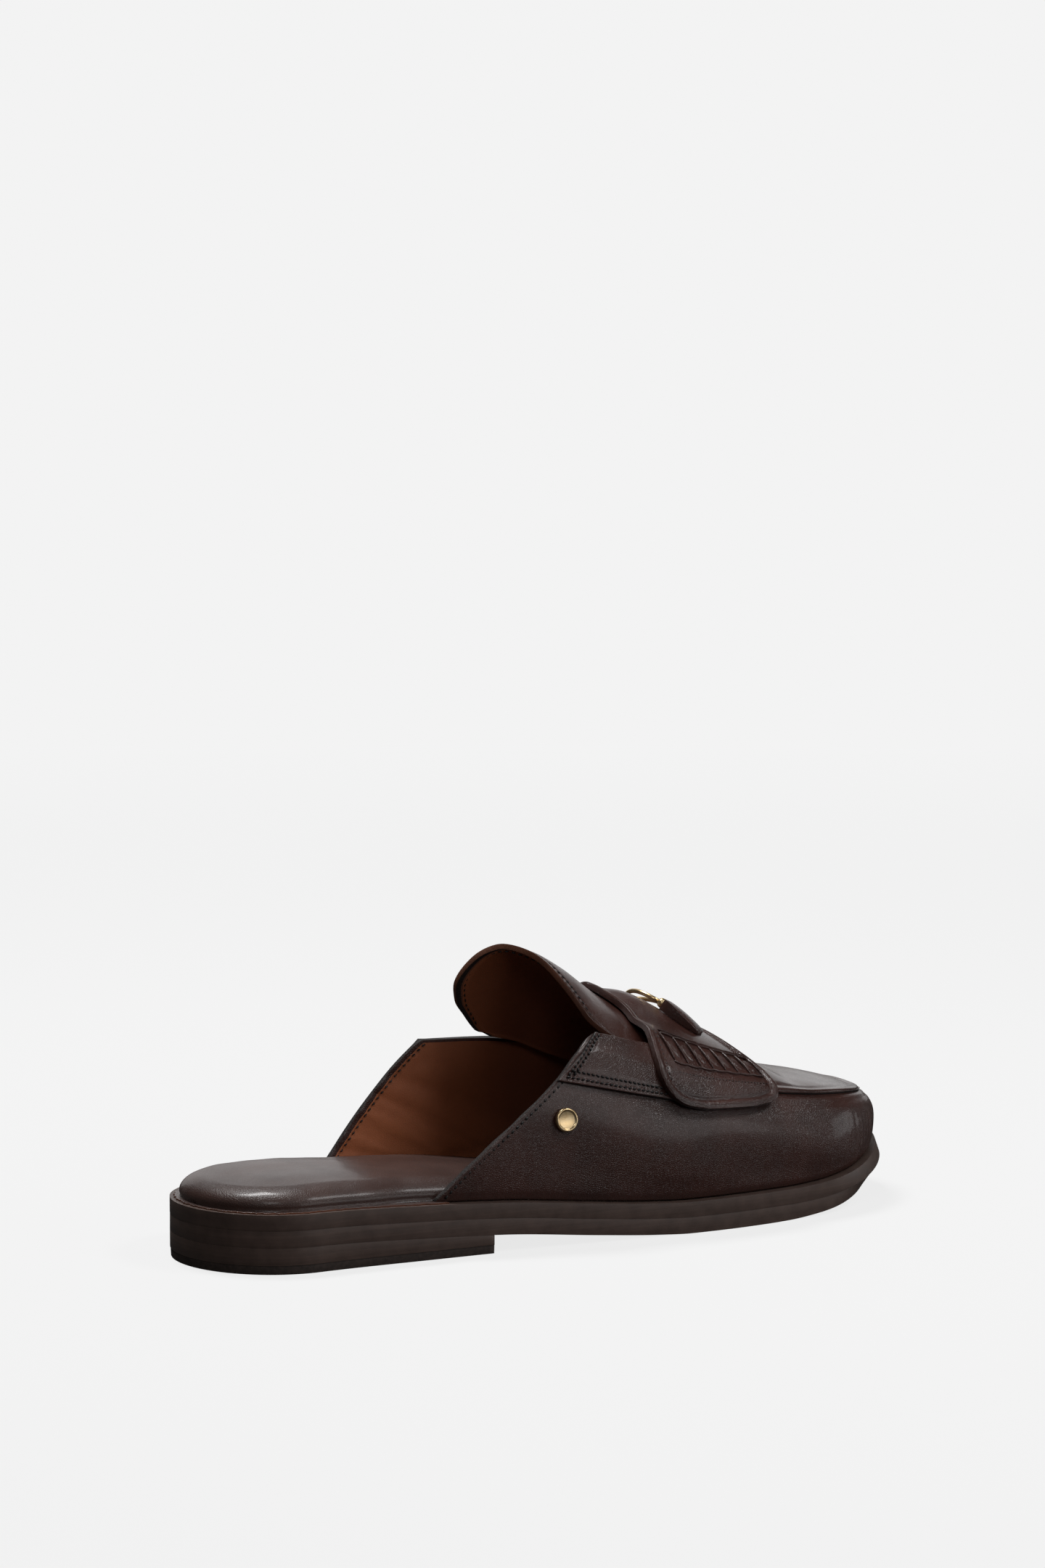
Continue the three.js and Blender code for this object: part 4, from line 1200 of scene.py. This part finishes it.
# radius, height
STUD_PROFILE = [
    (0.0, 1.15), (2.7, 1.1), (3.0, 1.2), (3.15, 1.45), (3.35, 1.55), (3.6, 1.5), (3.85, 1.25), (3.9, 0.9),
    (3.9, 0.1), (3.6, -0.1), (0.0, -0.1),
]


def side_stud():
    mesh = bmesh.new()
    verts = [mesh.verts.new((radius / 1000, 0, height / 1000)) for radius, height in STUD_PROFILE]
    edges = [mesh.edges.new(pair) for pair in zip(verts, verts[1:])]
    bmesh.ops.spin(mesh, geom=verts + edges, cent=(0, 0, 0), axis=(0, 0, 1), angle=2 * math.pi, steps=56,
                   use_merge=True)
    bmesh.ops.remove_doubles(mesh, verts=mesh.verts, dist=1e-6)
    bmesh.ops.recalc_face_normals(mesh, faces=mesh.faces)
    station = station_of(STUD_ALONG)
    way = way_at(np.array(STUD_ALONG * SOLE_LENGTH), -1, STUD_UP * INSTEP)
    out = Vector(last_normal(station, way))
    foot = Vector(to_model(off_last(station, way, np.array(0.2))))
    turned = out.to_track_quat("Z", "Y").to_matrix().to_4x4()
    bmesh.ops.transform(mesh, matrix=Matrix.Translation(foot) @ turned, verts=mesh.verts)
    piece = finish_piece("gold_stud", mesh, [GOLD])
    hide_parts("side_stud")


side_stud()

# %% [markdown]
# A photographer's table is a pale sheet that curves up behind the shoe. Six soft boxes of different size
# stand round it: above, behind, on the near side, at the heel and at the toe, and the smallest high over
# the near side. Lit by them alone, the sheet would darken far away and show in the polish. So it is
# hidden from reflected and bounced light and glows by itself, a little more far away, and the background
# keeps one even tone.

# %% Studio


def studio_sheet():
    mesh = bmesh.new()
    width, table_end, bend = 8.0, 2.2, 1.2
    profile = [(-3.0, 0.0), (table_end, 0.0)]
    profile += [(table_end + bend * math.sin(a), bend - bend * math.cos(a))
                for a in np.linspace(0.1, math.pi / 2, 14)]
    profile.append((table_end + bend, 6.0))
    verts = [mesh.verts.new((-width / 2, along, up)) for along, up in profile]
    edges = [mesh.edges.new(pair) for pair in zip(verts, verts[1:])]
    grown = bmesh.ops.extrude_edge_only(mesh, edges=edges)["geom"]
    moved = [part for part in grown if isinstance(part, bmesh.types.BMVert)]
    bmesh.ops.translate(mesh, verts=moved, vec=(width, 0, 0))
    bmesh.ops.rotate(mesh, verts=mesh.verts, cent=(0, 0, 0), matrix=Matrix.Rotation(-CAMERA_YAW, 3, "Z"))
    bmesh.ops.recalc_face_normals(mesh, faces=mesh.faces)
    data = bpy.data.meshes.new("studio_sheet")
    mesh.to_mesh(data)
    mesh.free()
    data.polygons.foreach_set("use_smooth", [True] * len(data.polygons))
    floor = bpy.data.objects.new("studio_sheet", data)
    bpy.context.scene.collection.objects.link(floor)
    paper = Finish("pale_paper", Roughness=0.9, Specular_IOR_Level=0.0, Emission_Strength=1.0)
    away = paper.node("ShaderNodeVectorMath", {"operation": "LENGTH"}, {0: paper.place}, "Value")
    lit, glow, far_glow = (0.13, 0.13, 0.13, 1), (0.787, 0.787, 0.787, 1), (0.896, 0.896, 0.896, 1)
    paper.feed("Base Color", paper.ramp(away * 0.5, [(0.2, lit), (0.85, BLACK)]))
    paper.feed("Emission Color", paper.ramp(away * 0.5, [(0.2, glow), (0.85, far_glow)]))
    data.materials.append(paper.material)
    floor.visible_glossy = False
    floor.visible_diffuse = False


def soft_box(name, spot, target, size, power):
    light = bpy.data.lights.new(name, "AREA")
    light.shape = "RECTANGLE"
    light.size, light.size_y = size
    light.energy = power
    lamp = bpy.data.objects.new(name, light)
    lamp.location = spot
    lamp.rotation_euler = (Vector(target) - Vector(spot)).to_track_quat("-Z", "Y").to_euler()
    bpy.context.scene.collection.objects.link(lamp)


studio_sheet()
soft_box("top_box", (-0.05, 0.55, 1.4), (0, 0, 0.03), (0.5, 0.3), 14.0)
soft_box("back_card", (0.9, 1.5, 0.4), (0, 0, 0.03), (1.8, 0.7), 3.4)
soft_box("near_card", (0.65, -1.5, 0.4), (0, 0, 0.03), (1.3, 0.4), 3.2)
soft_box("key_box", (0.42, -0.5, 0.78), (0, 0, 0.05), (0.32, 0.22), 2.3)
soft_box("heel_box", (-0.7, -0.8, 0.9), (-0.05, 0, 0.03), (0.4, 0.3), 1.8)
soft_box("toe_box", (1.3, -0.33, 0.14), (0.05, 0, 0.03), (0.5, 0.4), 1.2)
world = bpy.data.worlds.new("soft_room")
world.use_nodes = True
world.node_tree.nodes["Background"].inputs["Color"].default_value = (1, 1, 1, 1)
world.node_tree.nodes["Background"].inputs["Strength"].default_value = 0.04
bpy.context.scene.world = world
bpy.context.scene.view_settings.view_transform = "Standard"
print("studio lights:", len(bpy.data.lights))
